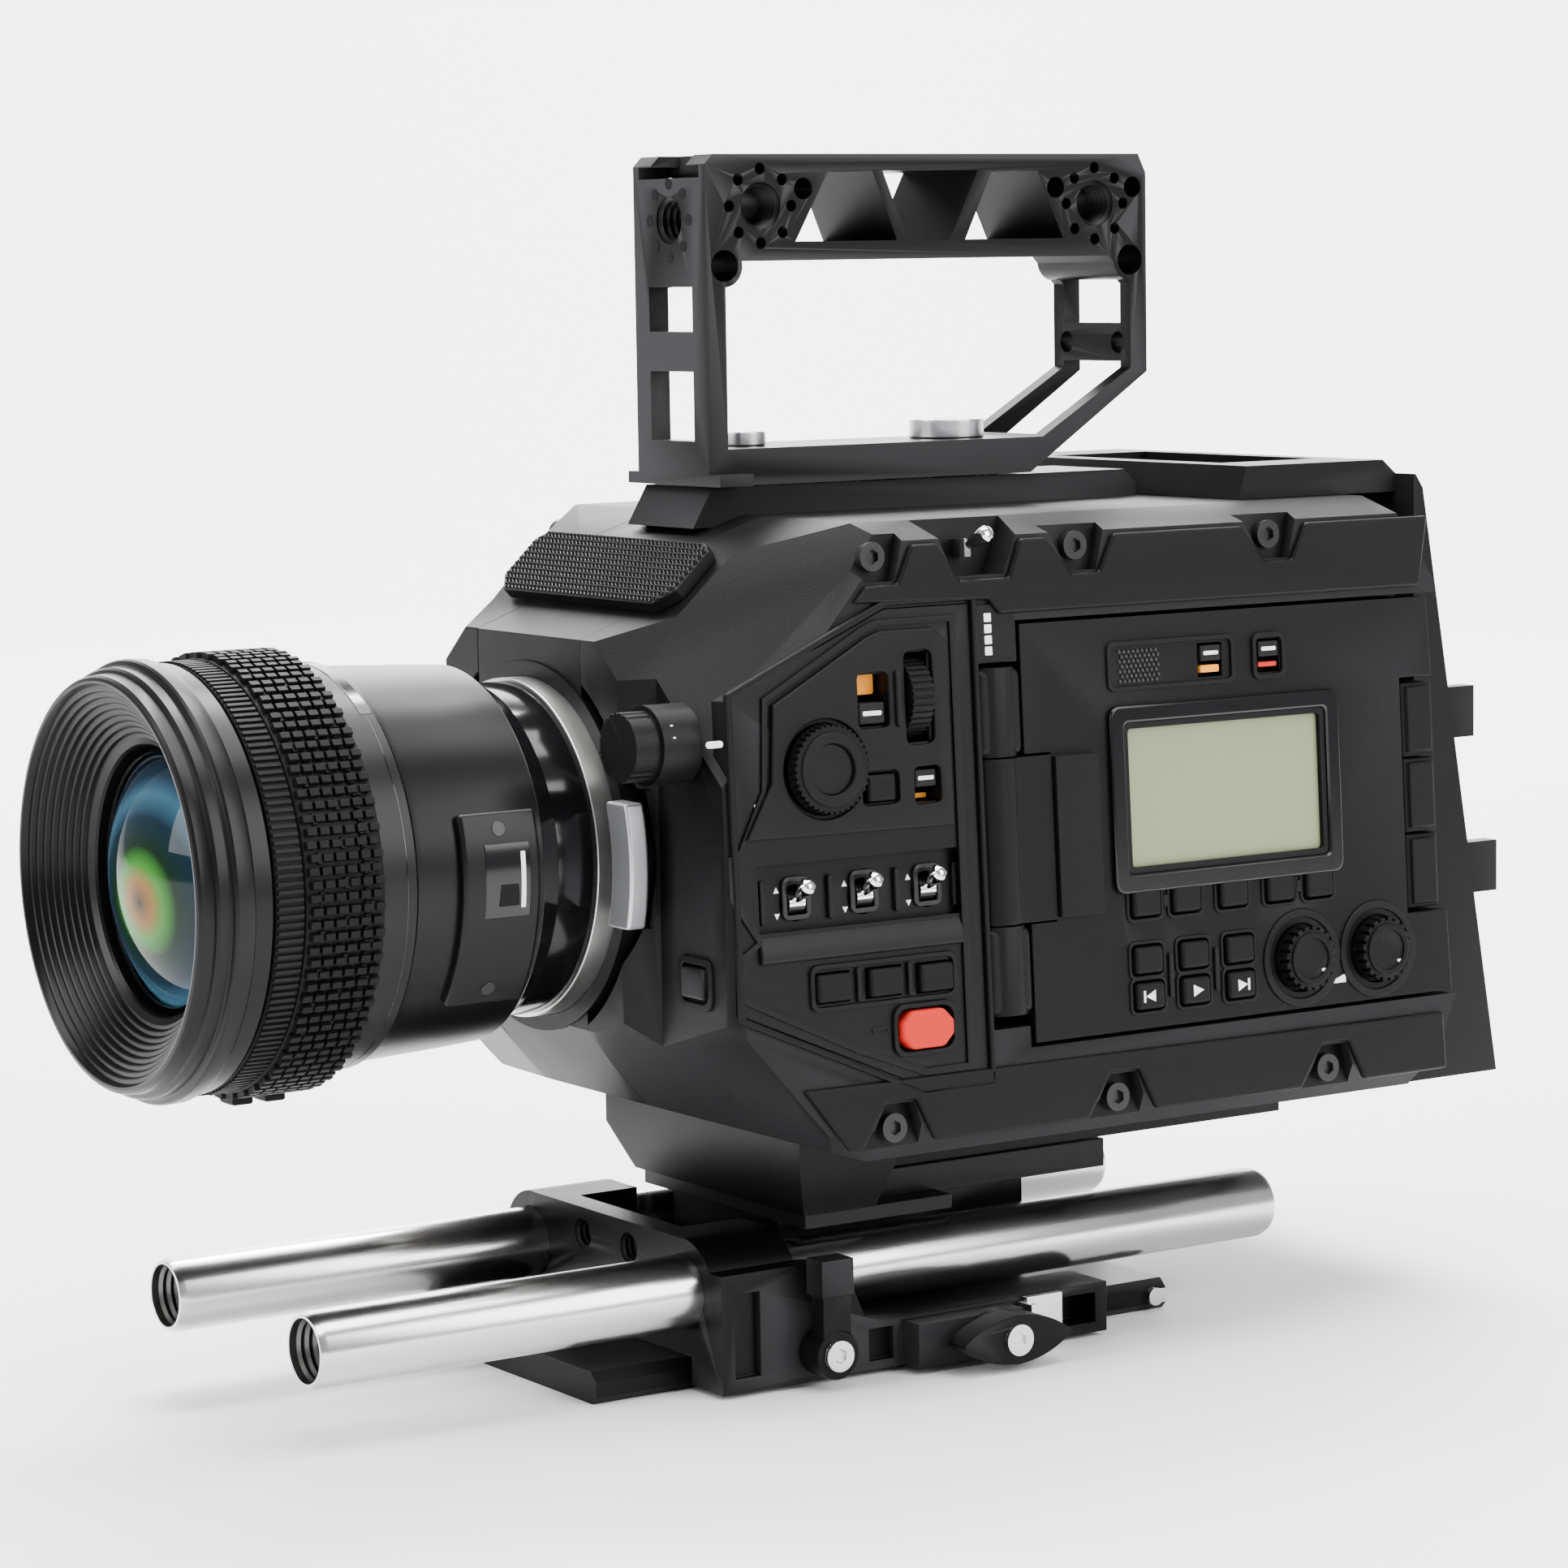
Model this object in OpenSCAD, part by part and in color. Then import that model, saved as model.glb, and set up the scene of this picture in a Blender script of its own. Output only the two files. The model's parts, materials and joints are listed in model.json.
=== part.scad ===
// Cinema camera rig: camera body with fixed lens, top handle, and 15 mm rod base on a dovetail plate.
// +Z up, the lens looks along -Y, the operator's controls are on +X.
// The origin is on the resting plane, under the lens axis and in the plane of the lens mount.

/* [Rods and base] */
// Diameter of the lens support rods
rod_d = 15; // [12:0.5:16.5]
// Distance between the two rod axes
rod_pitch = 60; // [56:1:64]
// Length of each rod
rod_len = 231; // [190:1:300]
// Wall thickness of each rod tube
rod_wall = 1.2; // [1:0.1:3]
// Front end of the rods, measured from the lens mount plane
rod_front = -68; // [-90:1:-40]
// Thickness of the dovetail plate on the table
dovetail_t = 6.5; // [5.5:0.5:7]
// Width of the dovetail plate
dovetail_w = 64; // [54:1:68]
// Length of the dovetail plate
dovetail_len = 142; // [118:1:170]
// Height of the lens axis above the rod axes
axis_rise = 88; // [85:0.5:106]
// Height of the lens support block at the front of the base
block_top = 31; // [29:0.5:31]

/* [Camera body] */
// Distance from the lens axis to the operator side, at axis height
side_x = 64; // [60:1:77]
// Outward lean of the sides towards the bottom, in degrees
side_lean = 3.2; // [0:0.1:5]
// Length of the body from its front face to the end of its side covers
body_len = 185; // [180:1:222]
// Height of the body roof above the lens axis
roof_rise = 65; // [61:1:76]
// Depth of the body floor below the lens axis
floor_drop = 59.5; // [58:0.5:60]
// Wall thickness of the covers
wall = 3; // [2:0.5:3.5]
// Half width of the casting strip between the two side covers
strip_x = 20.2; // [17:0.2:24]

/* [Monitor door] */
// Length of the monitor door
door_len = 107; // [104:1:107]
// Height of the monitor door
door_h = 83.5; // [80:0.5:86]
// Thickness of the monitor door
door_t = 12; // [10:0.5:14]
// Running gap round everything that moves
gap = 0.35; // [0.3:0.05:0.4]

/* [Controls] */
// Radius of the menu dial
dial_r = 8.6; // [7:0.1:9.5]
// Radius of the two audio level knobs
knob_r = 6.6; // [5.5:0.1:7.2]
// Radius of the filter knob
nd_r = 7.8; // [6.5:0.1:8]

/* [Lens] */
// Largest radius of the lens, at its hood flange
lens_r = 42.7; // [40:0.1:46]
// Length of the lens in front of the lens mount plane
lens_len = 92.2; // [88:0.2:98]
// Module of the focus gear belt
gear_module = 0.8; // [0.6:0.1:1]
// Outer radius of the focus gear belt
belt_r = 43.2; // [42.6:0.1:47]
// Width of the focus gear belt
belt_w = 16.4; // [12:0.2:17]

/* [Handle] */
// Width of the top handle
handle_w = 27.2; // [24:0.4:32]
// Length of the top handle
handle_len = 111; // [104:1:133]
// Height of the top handle
handle_h = 66.4; // [60:0.2:80]
// Height of the grip beam
grip_h = 21.4; // [19:0.2:25]
// Radius of the large threaded accessory holes
acc_r = 4.76; // [4:0.01:5]
// Radius of the small threaded accessory holes
small_r = 3.18; // [2.5:0.01:3.3]

/* [Hidden] */
$fn = 64;
eps = 0.01;
rod_r = rod_d / 2;
rod_x = rod_pitch / 2;
// The base plate lies just under the rods, and its groove takes the dovetail plate.
base_lift = 1;
base_half = rod_x + rod_r + 6.5;
lobe_r = rod_r + 3.3;
far_half = rod_x + lobe_r;
groove_top = dovetail_t + 0.2;
plate_top = groove_top + 4.8;
rod_z = plate_top + 0.7 + rod_r;
axis_z = rod_z + axis_rise;
block_y = 17;
block_len = 20;
base_end = 112;
bore_clear = 0.05;
dovetail_y = -5;
// Camera body levels
front_y = 1.8;
back_y = front_y + body_len;
roof_z = axis_z + roof_rise;
floor_z = axis_z - floor_drop;
chest_z = axis_z - 47;
brow_z = axis_z + 42.6;
mesh_lean = 43;
strip_y = 7;
shell_top_x = side_x - 12;
ledge_z = roof_z - 3.5;
rear_half = shell_top_x;
// Lens mount
throat_r = 27;
ring_r = 34.1;
collar_r = 37.3;
hole_r = 39.5;
ring_front = -3.4;
// Side covers: door, panel and screw places, as y and as height above the axis
door_y = 78.2;
door_v = -39.6;
hinge_y = 72.3;
hinge_off = -3.5;
hinge_r = 5.4;
pin_r = 1.5;
stub_r = 2.5;
shaft_gap = 0.05;
arm_v0 = -15.4;
arm_v1 = 17.6;
arm_end = door_y + 6;
post_v0 = arm_v0 - 18;
post_v1 = arm_v1 + 18;
panel_t = 5;
panel_y0 = 8.6;
panel_y1 = 66;
top_screw_y = [44.8, 93.9, 143.5];
low_screw_y = [44.1, 98.9, 153.9];
top_screw_v = 58.8;
low_screw_v = -52.8;
// Filter wheel: knob and wheel turn one to one on a belt
knob_x = side_x - 13;
knob_z = axis_z + 24.4;
wheel_z = axis_z + 17;
wheel_r = 24.8;
wheel_y = 12;
wheel_t = 3;
pulley_r = 4;
pulley_y = 17;
pulley_t = 4;
shaft_r = 2;
// Handle
handle_y = 36.8;
rail_top = roof_z + 5.7;
rail_bottom = rail_top - 8;
rail_y = 33.3;
rail_len = back_y - 41.5 - rail_y;
rail_half = 12.6;
handle_z = rail_top + 0.3;
handle_top = handle_z + handle_h;
// Lens stations along the axis
lens_front = -lens_len;
flange_y = lens_front + 7.8;
focus_y0 = flange_y + 7.4;
belt_y0 = focus_y0 + 6;
focus_y1 = belt_y0 + belt_w;
barrel_end = -17.2;
focus_bore = lens_r - 4.2;
focus_r = lens_r - 1.2;
belt_teeth = round(2 * belt_r / gear_module);
glass_r = 26;
glass_back = flange_y + 12;
male_r = throat_r - 0.4;
male_y = 3;

// Keys on the monitor door: name, column position and height above the axis
row_one = -14;
row_two = -25.6;
row_three = -32.9;
key_x = door_y + 28.3;
key_step = 11.8;
KEYS = [
    ["still_key", key_x, row_one],
    ["hold_key", key_x + 10.3, row_one],
    ["reset_key", key_x + 22.5, row_one],
    ["timecode_key", key_x + 34.9, row_one],
    ["bright_key", key_x + 45.1, row_one],
    ["iris_key", key_x, row_two],
    ["focus_key", key_x + key_step, row_two],
    ["program_key", key_x + 2 * key_step, row_two],
    ["previous_key", key_x, row_three],
    ["play_key", key_x + key_step, row_three],
    ["next_key", key_x + 2 * key_step, row_three]
];
key_w = 7;
key_h = 5.4;
// Keys on the control panel: name, y, height above the axis, width and height
PANEL_KEYS = [
    ["back_button", 42.8, 14.1, 6.4, 5.2],
    ["f1_button", 29.8, -23.7, 7.8, 5.4],
    ["f2_button", 42, -23.7, 7.8, 5.4],
    ["hfr_button", 53.9, -23.9, 7.8, 5.4],
    ["rec_button", 51.2, -33.8, 12.4, 7.6]
];
// Toggles on the control panel shelf: name and y
TOGGLES = [["iso_toggle", 23.6], ["shutter_toggle", 39.4], ["white_toggle", 54.4]];
toggle_v = -6.8;
power_y = 69.1;
power_v = 59.5;
// Slide switches: name, y, height of the rest place and travel
source_y = 41.9;
source_v = 28.6;
source_travel = 5;
lock_y = 53.9;
lock_v = 15.2;
wheel_slot_y = 52.7;
wheel_slot_v = 31.1;
thumb_r = 8.5;
thumb_w = 5;
thumb_deep = 5.2;
dial_y = 30.2;
dial_v = 18.6;
channel_y = 125.8;
door_lock_y = 140.9;
door_switch_v = 35.4;
lcd_y = 101.6;
lcd_v = -9.4;
lcd_len = 54;
lcd_h = 33;
knob_a_y = 146.8;
knob_b_y = 167.2;
flap_y = door_y + 99;
flap_v = [10.4, -5.6, -21.6];
knob_v = -29;

// Places children on the leaning side: x outwards from the face, y along it, z up it from axis height.
module on_side(y = 0, v = 0, out = 0) {
    translate([side_x, 0, axis_z]) rotate([0, -side_lean, 0]) translate([out, y, v]) children();
}

// A cylinder along Y from y0 to y1.
module cyl_y(r, y0, y1, x = 0, z = 0) {
    translate([x, y0, z]) rotate([-90, 0, 0]) cylinder(r = r, h = y1 - y0);
}

// A cylinder that points outwards from the leaning side.
module cyl_out(r, from, to) {
    translate([from, 0, 0]) rotate([0, 90, 0]) cylinder(r = r, h = to - from);
}

// A box given by its low corner and its high corner.
module box(low, high) {
    translate(low) cube(high - low);
}

// The body's outer form, shrunk by t: a side outline, a plan outline and a front outline crossed.
module body_form(t = 0) {
    difference() {
        body_block(t);
        // The upper and lower front corners slope back
        beyond([36, front_y, brow_z - 8.8], [0.8, -1, 0.95], t);
        beyond([36, front_y, axis_z - 31.2], [0.25, -1, -0.85], t);
    }
}

module body_block(t) {
    low_x = side_x + 3.4;
    intersection() {
        rotate([90, 0, 90]) translate([0, 0, -100]) linear_extrude(200) polygon([
            [front_y + t, chest_z + 12 + t / 2], [front_y + t, brow_z - t / 2],
            [front_y + 12.7 + t / 2, brow_z + 4.7 - t], [front_y + 25.2 + t / 2, brow_z + 16.6 - t],
            [front_y + 43, roof_z - t],
            [back_y - 12, roof_z - t], [back_y - t, roof_z - 18 - t / 2],
            [back_y + 2 - t, axis_z - 40], [back_y - 8 - t / 2, floor_z + t],
            [front_y + 38, floor_z + t], [front_y + 12 + t / 2, chest_z - 4 + t]
        ]);
        linear_extrude(roof_z + 1) polygon([
            [-low_x + t, back_y + 3], [-low_x + t, strip_y + 12 + t / 2], [-low_x + 12 + t / 2, strip_y + t],
            [-40, strip_y + t], [-34, front_y + t], [34, front_y + t], [40, strip_y + t],
            [low_x - 4 - t / 2, strip_y + t], [low_x - t, strip_y + 5 + t / 2], [low_x - t, back_y + 3]
        ]);
        translate([0, back_y + 3, 0]) rotate([90, 0, 0]) linear_extrude(back_y + 10) polygon([
            [-shell_top_x, roof_z - t], [shell_top_x, roof_z - t],
            [side_x - 3.6 - t, ledge_z - t / 2], [side_x + 3 - t, floor_z + 7 + t / 3],
            [side_x - 2 - t, floor_z + t], [-side_x + 2 + t, floor_z + t],
            [-side_x - 3 + t, floor_z + 7 + t / 3], [-side_x + 3.6 + t, ledge_z - t / 2]
        ]);
    }
}

// Everything beyond a plane through a point, on both sides of the body; t moves the plane inwards.
module beyond(point, normal, t = 0) {
    for (s = [0, 1]) mirror([s, 0, 0]) translate(point)
        rotate([0, acos(normal[2] / norm(normal)), atan2(normal[1], normal[0])])
            translate([-200, -200, -t]) cube([400, 400, 200]);
}

// A trapezoid pocket round a cover screw: wide at its outer side.
module screw_pocket(y, v, up) {
    on_side(y, v, -3.2) rotate([90, 0, 90]) linear_extrude(8) polygon([
        [-9, up * 5.5], [7, up * 5.5], [4, up * -5], [-3, up * -5]
    ]);
}

// The outline of the control panel, shrunk by t.
module panel_outline(t = 0) {
    polygon([
        [panel_y0 + t, 33 - t], [46, 48.5 - t], [panel_y1 - t, 48.5 - t],
        [panel_y1 - t, -45 + t], [50, -45 + t], [panel_y0 + t, -27 + t]
    ]);
}

module chassis() {
    color("#1c1c1f") {
        difference() {
            union() {
                difference() {
                    intersection() {
                        body_form();
                        box([-strip_x, 0, 0], [strip_x, back_y + 5, roof_z + 1]);
                    }
                    body_form(wall + 1);
                }
                cyl_y(collar_r, front_y - 0.4, front_y + 6, 0, axis_z);
                hull() {
                    box([-37.5, front_y + 38.4, floor_z - 6.5], [37.5, front_y + 62, floor_z - 0.1]);
                    box([-32.6, front_y + 42.5, floor_z - 16.4], [32.6, front_y + 60, floor_z - 14]);
                }
                box([-24, front_y + 60, floor_z - 10.8], [24, back_y - 12, floor_z - 0.1]);
                box([-18, back_y - 62, floor_z - 5], [40, back_y - 23, floor_z - 0.1]);
                box([-strip_x + 1, front_y + 40, floor_z - 1], [strip_x - 1, back_y - 24, floor_z + 1]);
            }
            box([-rail_half - 0.1, rail_y - 0.1, rail_bottom - 0.1],
                [rail_half + 0.1, rail_y + rail_len + 0.1, roof_z + 5]);
            cyl_y(throat_r, -5, front_y + 9, 0, axis_z);
            cyl_y(ring_r + 0.1, -5, front_y + 2.2, 0, axis_z);
        }
    }
}

module cover_cuts() {
    cyl_y(hole_r, -5, front_y + 12, 0, axis_z);
    for (y = top_screw_y) screw_pocket(y, top_screw_v, 1);
    for (y = low_screw_y) screw_pocket(y, low_screw_v, -1);
}

module operator_shell() {
    color("#1b1b1e") {
        cover_with_bays();
        // Fixed hinge posts above and below the arm, each bored for the pin
        for (v = [[post_v0, arm_v0 - gap], [arm_v1 + gap, post_v1]]) {
            on_side(hinge_y, v[0]) difference() {
                union() {
                    translate([hinge_off, 0, 0]) cylinder(r = hinge_r, h = v[1] - v[0]);
                    translate([-11, -hinge_r, 0]) cube([11 + hinge_off, 2 * hinge_r, v[1] - v[0]]);
                }
                translate([hinge_off, 0, -1]) cylinder(r = pin_r + shaft_gap, h = 40);
            }
        }
    }
}

module cover_with_bays() {
    difference() {
        intersection() {
            body_form();
            box([strip_x + 0.1, 0, 0], [side_x + 10, back_y + 5, roof_z + 1]);
        }
        difference() {
            body_form(wall);
            on_side(door_y - 3, door_v - 3, -door_t - 5) cube([30, door_len + 6, door_h + 6]);
            on_side(hinge_y - 9, door_v - 3, -13) cube([30, 18, door_h + 6]);
            on_side(0, 0, -panel_t - 3) rotate([90, 0, 90]) linear_extrude(30) panel_outline(-3);
            for (y = top_screw_y) on_side(y - 9, top_screw_v - 7, -9) cube([9, 18, 14]);
            for (y = low_screw_y) on_side(y - 9, low_screw_v - 7, -9) cube([9, 18, 14]);
            on_side(power_y - 12, power_v - 8, -12) cube([12, 24, 14]);
        }
        cover_cuts();
        // Door bay, hinge bay and control panel opening
        on_side(door_y - 1.35, door_v - 0.8, -door_t - 1.2) cube([40, door_len + 10, door_h + 1.6]);
        on_side(hinge_y - hinge_r - 0.8, -36, -10.5) cube([40, 2 * hinge_r + 1.6, 74]);
        on_side(0, 0, -panel_t - 0.05) rotate([90, 0, 90]) linear_extrude(30) panel_outline(-0.2);
        on_side(0, 0, -panel_t - 12) rotate([90, 0, 90]) linear_extrude(30) panel_outline(3);
        // Power switch pocket
        on_side(power_y, power_v, -8) rotate([90, 0, 90]) linear_extrude(20) polygon([
            [-11, 6], [11, 6], [6, -5.5], [-6, -5.5]
        ]);
        // Filter knob shaft, release button and white balance button
        cyl_y(shaft_r + 0.3, 0, 40, knob_x, knob_z);
        box([36, -5, axis_z - 13], [47, front_y + 4.2, axis_z + 14.5]);
        box([48.6, -5, axis_z - 25.4], [57.4, 20, axis_z - 18.6]);
    }
}

module off_shell() {
    color("#1b1b1e") difference() {
        intersection() {
            body_form();
            box([-side_x - 10, 0, 0], [-strip_x - 0.1, back_y + 5, roof_z + 1]);
        }
        difference() {
            body_form(wall);
            mirror([1, 0, 0]) {
                for (y = top_screw_y) on_side(y - 9, top_screw_v - 7, -9) cube([9, 18, 14]);
                for (y = low_screw_y) on_side(y - 9, low_screw_v - 7, -9) cube([9, 18, 14]);
            }
        }
        mirror([1, 0, 0]) cover_cuts();
    }
}

module vent_mesh() {
    long = 16.6;
    color("#26262a") translate([0, front_y + 13.1, brow_z + 5]) rotate([mesh_lean, 0, 0]) difference() {
        translate([0, 0, 0.3]) linear_extrude(2.4) polygon([
            [-29, 0], [29, 0], [33.4, 4], [33.4, long - 2], [30, long], [-30, long], [-33.4, long - 2], [-33.4, 4]
        ]);
        for (i = [-14:14]) translate([i * 2 - 0.55, 1, 1.9]) cube([1.1, long - 2, 3]);
    }
}

module rear_housing() {
    lean = 22;
    color("#19191c") difference() {
        union() {
            // Rear plate, leaning back towards its foot
            translate([-rear_half, 0, 0]) rotate([90, 0, 90]) linear_extrude(2 * rear_half) polygon([
                [back_y + 2.4, floor_z + 6], [back_y + 2.4, roof_z + 4], [back_y + 3, roof_z + 4],
                [back_y + 5, roof_z + 1], [back_y + 4 + lean, floor_z - 2], [back_y - 5, floor_z - 2],
                [back_y - 5, floor_z - 0.4], [back_y + 2.4, floor_z + 6]
            ]);
            // Raised roof block over the rear
            translate([-46, 0, 0]) rotate([90, 0, 90]) linear_extrude(92) polygon([
                [back_y - 40.5, roof_z + 0.1], [back_y - 38, roof_z + 7], [back_y - 1, roof_z + 7],
                [back_y + 2.6, roof_z + 4], [back_y + 2.6, roof_z + 0.1]
            ]);
            // Battery catch hooks
            for (h = [[axis_z - 22, 26], [axis_z + 12, 19.4]]) {
                for (s = [-1, 1]) box([s * 50 - 2, back_y + 8, h[0]], [s * 50 + 2, back_y + h[1], h[0] + 11]);
            }
        }
        // Battery wedge recess
        translate([0, back_y + 4, axis_z - 10]) rotate([90, 0, 0]) translate([0, 0, -40]) linear_extrude(36)
            polygon([[-20, -30], [20, -30], [26, 45], [-26, 45]]);
        box([-30, back_y - 32, roof_z + 4.4], [30, back_y - 6, roof_z + 8]);
    }
}

module top_rail() {
    color("#202024") difference() {
        translate([-rail_half, 0, 0]) rotate([90, 0, 90]) linear_extrude(2 * rail_half) polygon([
            [rail_y, rail_bottom], [rail_y + 4.7, rail_top], [rail_y + rail_len - 3, rail_top],
            [rail_y + rail_len, rail_top - 3], [rail_y + rail_len, rail_bottom]
        ]);
        for (y = [handle_y + 16.8, handle_y + 68]) translate([0, y, rail_bottom - 1]) cylinder(r = 2.6, h = 20);
    }
}

module shell_screws() {
    color("#0f0f10") for (s = [0, 1]) mirror([s, 0, 0]) {
        for (y = top_screw_y) on_side(y, top_screw_v, -3.1) cover_screw();
        for (y = low_screw_y) on_side(y, low_screw_v, -3.1) cover_screw();
    }
}

// A cover screw with a six-sided drive.
module cover_screw() {
    difference() {
        cyl_out(2.9, 0, 1.8);
        translate([0.8, 0, 0]) rotate([0, 90, 0]) cylinder(r = 1.5, h = 2, $fn = 6);
    }
}

module mount_ring() {
    color("silver") difference() {
        cyl_y(ring_r, ring_front, front_y + 2.1, 0, axis_z);
        cyl_y(throat_r, ring_front - 1, front_y + 5, 0, axis_z);
    }
}

module lens_release() {
    color("#b4b6bb") intersection() {
        difference() {
            cyl_y(45.6, -3, 1.2, 0, axis_z);
            cyl_y(38.2, -4, 2, 0, axis_z);
        }
        box([36.6, -4, axis_z - 12], [50, 4, axis_z + 12.6]);
    }
}

module sensor_block() {
    color("#3a4a3c") difference() {
        union() {
            box([-19, 44, floor_z + wall + 1.2], [19, 48, axis_z + 16]);
            box([-14.5, 42, axis_z - 9], [14.5, 44.5, axis_z + 9]);
        }
        box([-12.7, 41, axis_z - 7.2], [12.7, 42.6, axis_z + 7.2]);
    }
}

module nd_knob() {
    flutes = 24;
    color("#151516") difference() {
        union() {
            cyl_y(nd_r - 1, -8.6, 2, knob_x, knob_z);
            cyl_y(nd_r, -3, 5.6, knob_x, knob_z);
            cyl_y(shaft_r, 5, pulley_y + 1, knob_x, knob_z);
            cyl_y(pulley_r, pulley_y, pulley_y + pulley_t, knob_x, knob_z);
        }
        for (i = [3:flutes - 4]) {
            translate([knob_x, 0, knob_z]) rotate([0, i * 360 / flutes, 0]) cyl_y(0.5, -10, -3.4, nd_r - 0.8, 0);
        }
    }
}

module nd_wheel() {
    color("#2d3238") difference() {
        union() {
            cyl_y(wheel_r, wheel_y, wheel_y + wheel_t, 0, wheel_z);
            cyl_y(pulley_r, wheel_y + wheel_t - eps, pulley_y + pulley_t, 0, wheel_z);
        }
        for (a = [0, 90, 180]) {
            translate([0, 0, wheel_z]) rotate([0, a, 0]) box([-10.5, wheel_y - 1, 10], [10.5, wheel_y + 1.2, 21.5]);
        }
        translate([0, 0, wheel_z]) rotate([0, 270, 0]) box([-10.5, wheel_y - 1, 10], [10.5, wheel_y + 5, 21.5]);
    }
}

// The belt's outer or inner form, longer at both faces by 'extra'.
module belt_loop(r, extra = 0) {
    hull() {
        cyl_y(r, pulley_y + 0.5 - extra, pulley_y + pulley_t - 0.5 + extra, 0, wheel_z, $fn = 32);
        cyl_y(r, pulley_y + 0.5 - extra, pulley_y + pulley_t - 0.5 + extra, knob_x, knob_z, $fn = 32);
    }
}

module nd_belt() {
    color("#101010") difference() {
        belt_loop(pulley_r + 1.5);
        belt_loop(pulley_r + 0.4, 2);
    }
}

// A rectangular key with its stem; its face stands proud by 'proud'.
module key(w, h, proud = 1.6, deep = 2) {
    translate([-deep, -w / 2, -h / 2]) cube([deep + proud, w, h]);
}

// The hole that a key moves in.
module key_hole(w, h, deep) {
    translate([-deep, -w / 2 - gap, -h / 2 - gap]) cube([deep + 10, w + 2 * gap, h + 2 * gap]);
}

module control_panel() {
    color("#17171a") difference() {
        on_side(0, 0, -panel_t) rotate([90, 0, 90]) linear_extrude(panel_t) panel_outline();
        for (k = PANEL_KEYS) on_side(k[1], k[2]) key_hole(k[3], k[4], 20);
        for (k = TOGGLES) on_side(k[1], toggle_v) cyl_out(3.6, -10, 10);
        on_side(14, -12, -2) cube([10, panel_y1 - 18, 13]);
        on_side(source_y, source_v + source_travel / 2) key_hole(6.2, 4.4 + source_travel, 20);
        on_side(lock_y, lock_v - 1.2) key_hole(5.2, 3.6 + 2.6, 20);
        on_side(wheel_slot_y, wheel_slot_v) key_hole(thumb_w, 2 * thumb_r, 20);
        on_side(dial_y, dial_v) cyl_out(dial_r + 0.4, -2, 5);
        on_side(dial_y, dial_v) cyl_out(2.05, -20, 5);
    }
}

module menu_dial() {
    grips = 40;
    color("#141415") on_side(dial_y, dial_v) difference() {
        union() {
            cyl_out(dial_r, -1.6, 3.4);
            cyl_out(2, -panel_t - 1.5, 0);
        }
        cyl_out(5, 2.6, 4);
        for (i = [0:grips - 1]) {
            rotate([i * 360 / grips, 0, 0]) translate([1.2, -0.3, dial_r - 0.35]) cube([3, 0.6, 1]);
        }
    }
}

module thumb_wheel() {
    grips = 36;
    color("#141415") on_side(wheel_slot_y, wheel_slot_v, -thumb_deep) difference() {
        cyl_y(thumb_r - 0.3, -thumb_w / 2, thumb_w / 2);
        cyl_y(1.5, -thumb_w, thumb_w);
        for (i = [0:grips - 1]) {
            rotate([0, i * 360 / grips, 0]) translate([-0.3, -thumb_w, thumb_r - 0.7]) cube([0.6, 2 * thumb_w, 2]);
        }
    }
}

module source_switch() {
    color("#222224") on_side(source_y, source_v) key(6, 4.2, 0.4, 3);
}

module panel_lock() {
    color("#222224") on_side(lock_y, lock_v) key(5, 3.4, 0.4, 3);
}

module auto_wb_button() {
    color("#1a1a1c") box([49, strip_y - 1.4, axis_z - 25], [57, strip_y + 3, axis_z - 19]);
}

module panel_key(k) {
    color(k[0] == "rec_button" ? "#d9342b" : "#1a1a1c") on_side(k[1], k[2]) {
        if (k[0] == "rec_button") {
            translate([-3, 0, 0]) rotate([90, 0, 90]) linear_extrude(4.8) polygon([
                [-k[3] / 2, 1.4], [-k[3] / 2 + 2.4, k[4] / 2], [k[3] / 2 - 2.4, k[4] / 2], [k[3] / 2, 1.4],
                [k[3] / 2, -1.4], [k[3] / 2 - 2.4, -k[4] / 2], [-k[3] / 2 + 2.4, -k[4] / 2], [-k[3] / 2, -1.4]
            ]);
        } else {
            key(k[3], k[4]);
        }
    }
}

// The lever of a bat toggle; it points outwards from the pivot.
module bat(tilt, turn = 0) {
    rotate([0, tilt, turn]) rotate([0, 90, 0]) rotate_extrude($fn = 32) polygon([
        [0, 0], [1.1, 0], [1.1, 1.4], [1.7, 6.4], [1.7, 7], [1.3, 7.7], [0.6, 8.05], [0, 8.05]
    ]);
}

module panel_toggle(t) {
    color("silver") on_side(t[1], toggle_v, -3.2) {
        bat(-30);
        rotate([90, 0, 0]) cylinder(r = 2.2, h = 3.6, center = true);
    }
}

module power_toggle() {
    color("silver") on_side(power_y, power_v, -5.4) {
        bat(-22, 14);
        cylinder(r = 2.2, h = 3.6, center = true);
    }
}

// The arm turns on the pin and carries the door on a stub along its other axis.
module hinge_arm() {
    color("#1a1a1d") {
        on_side(hinge_y, arm_v0, hinge_off) cylinder(r = hinge_r, h = arm_v1 - arm_v0);
        on_side(hinge_y, arm_v0, hinge_off - 5) cube([9.4, arm_end - hinge_y, arm_v1 - arm_v0]);
    }
    color("silver") {
        on_side(hinge_y, post_v0 + 1.5, hinge_off) cylinder(r = pin_r, h = post_v1 - post_v0 - 3);
        on_side(0, (arm_v0 + arm_v1) / 2, hinge_off - 2) cyl_y(stub_r, arm_end - eps, arm_end + 8);
    }
}

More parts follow.
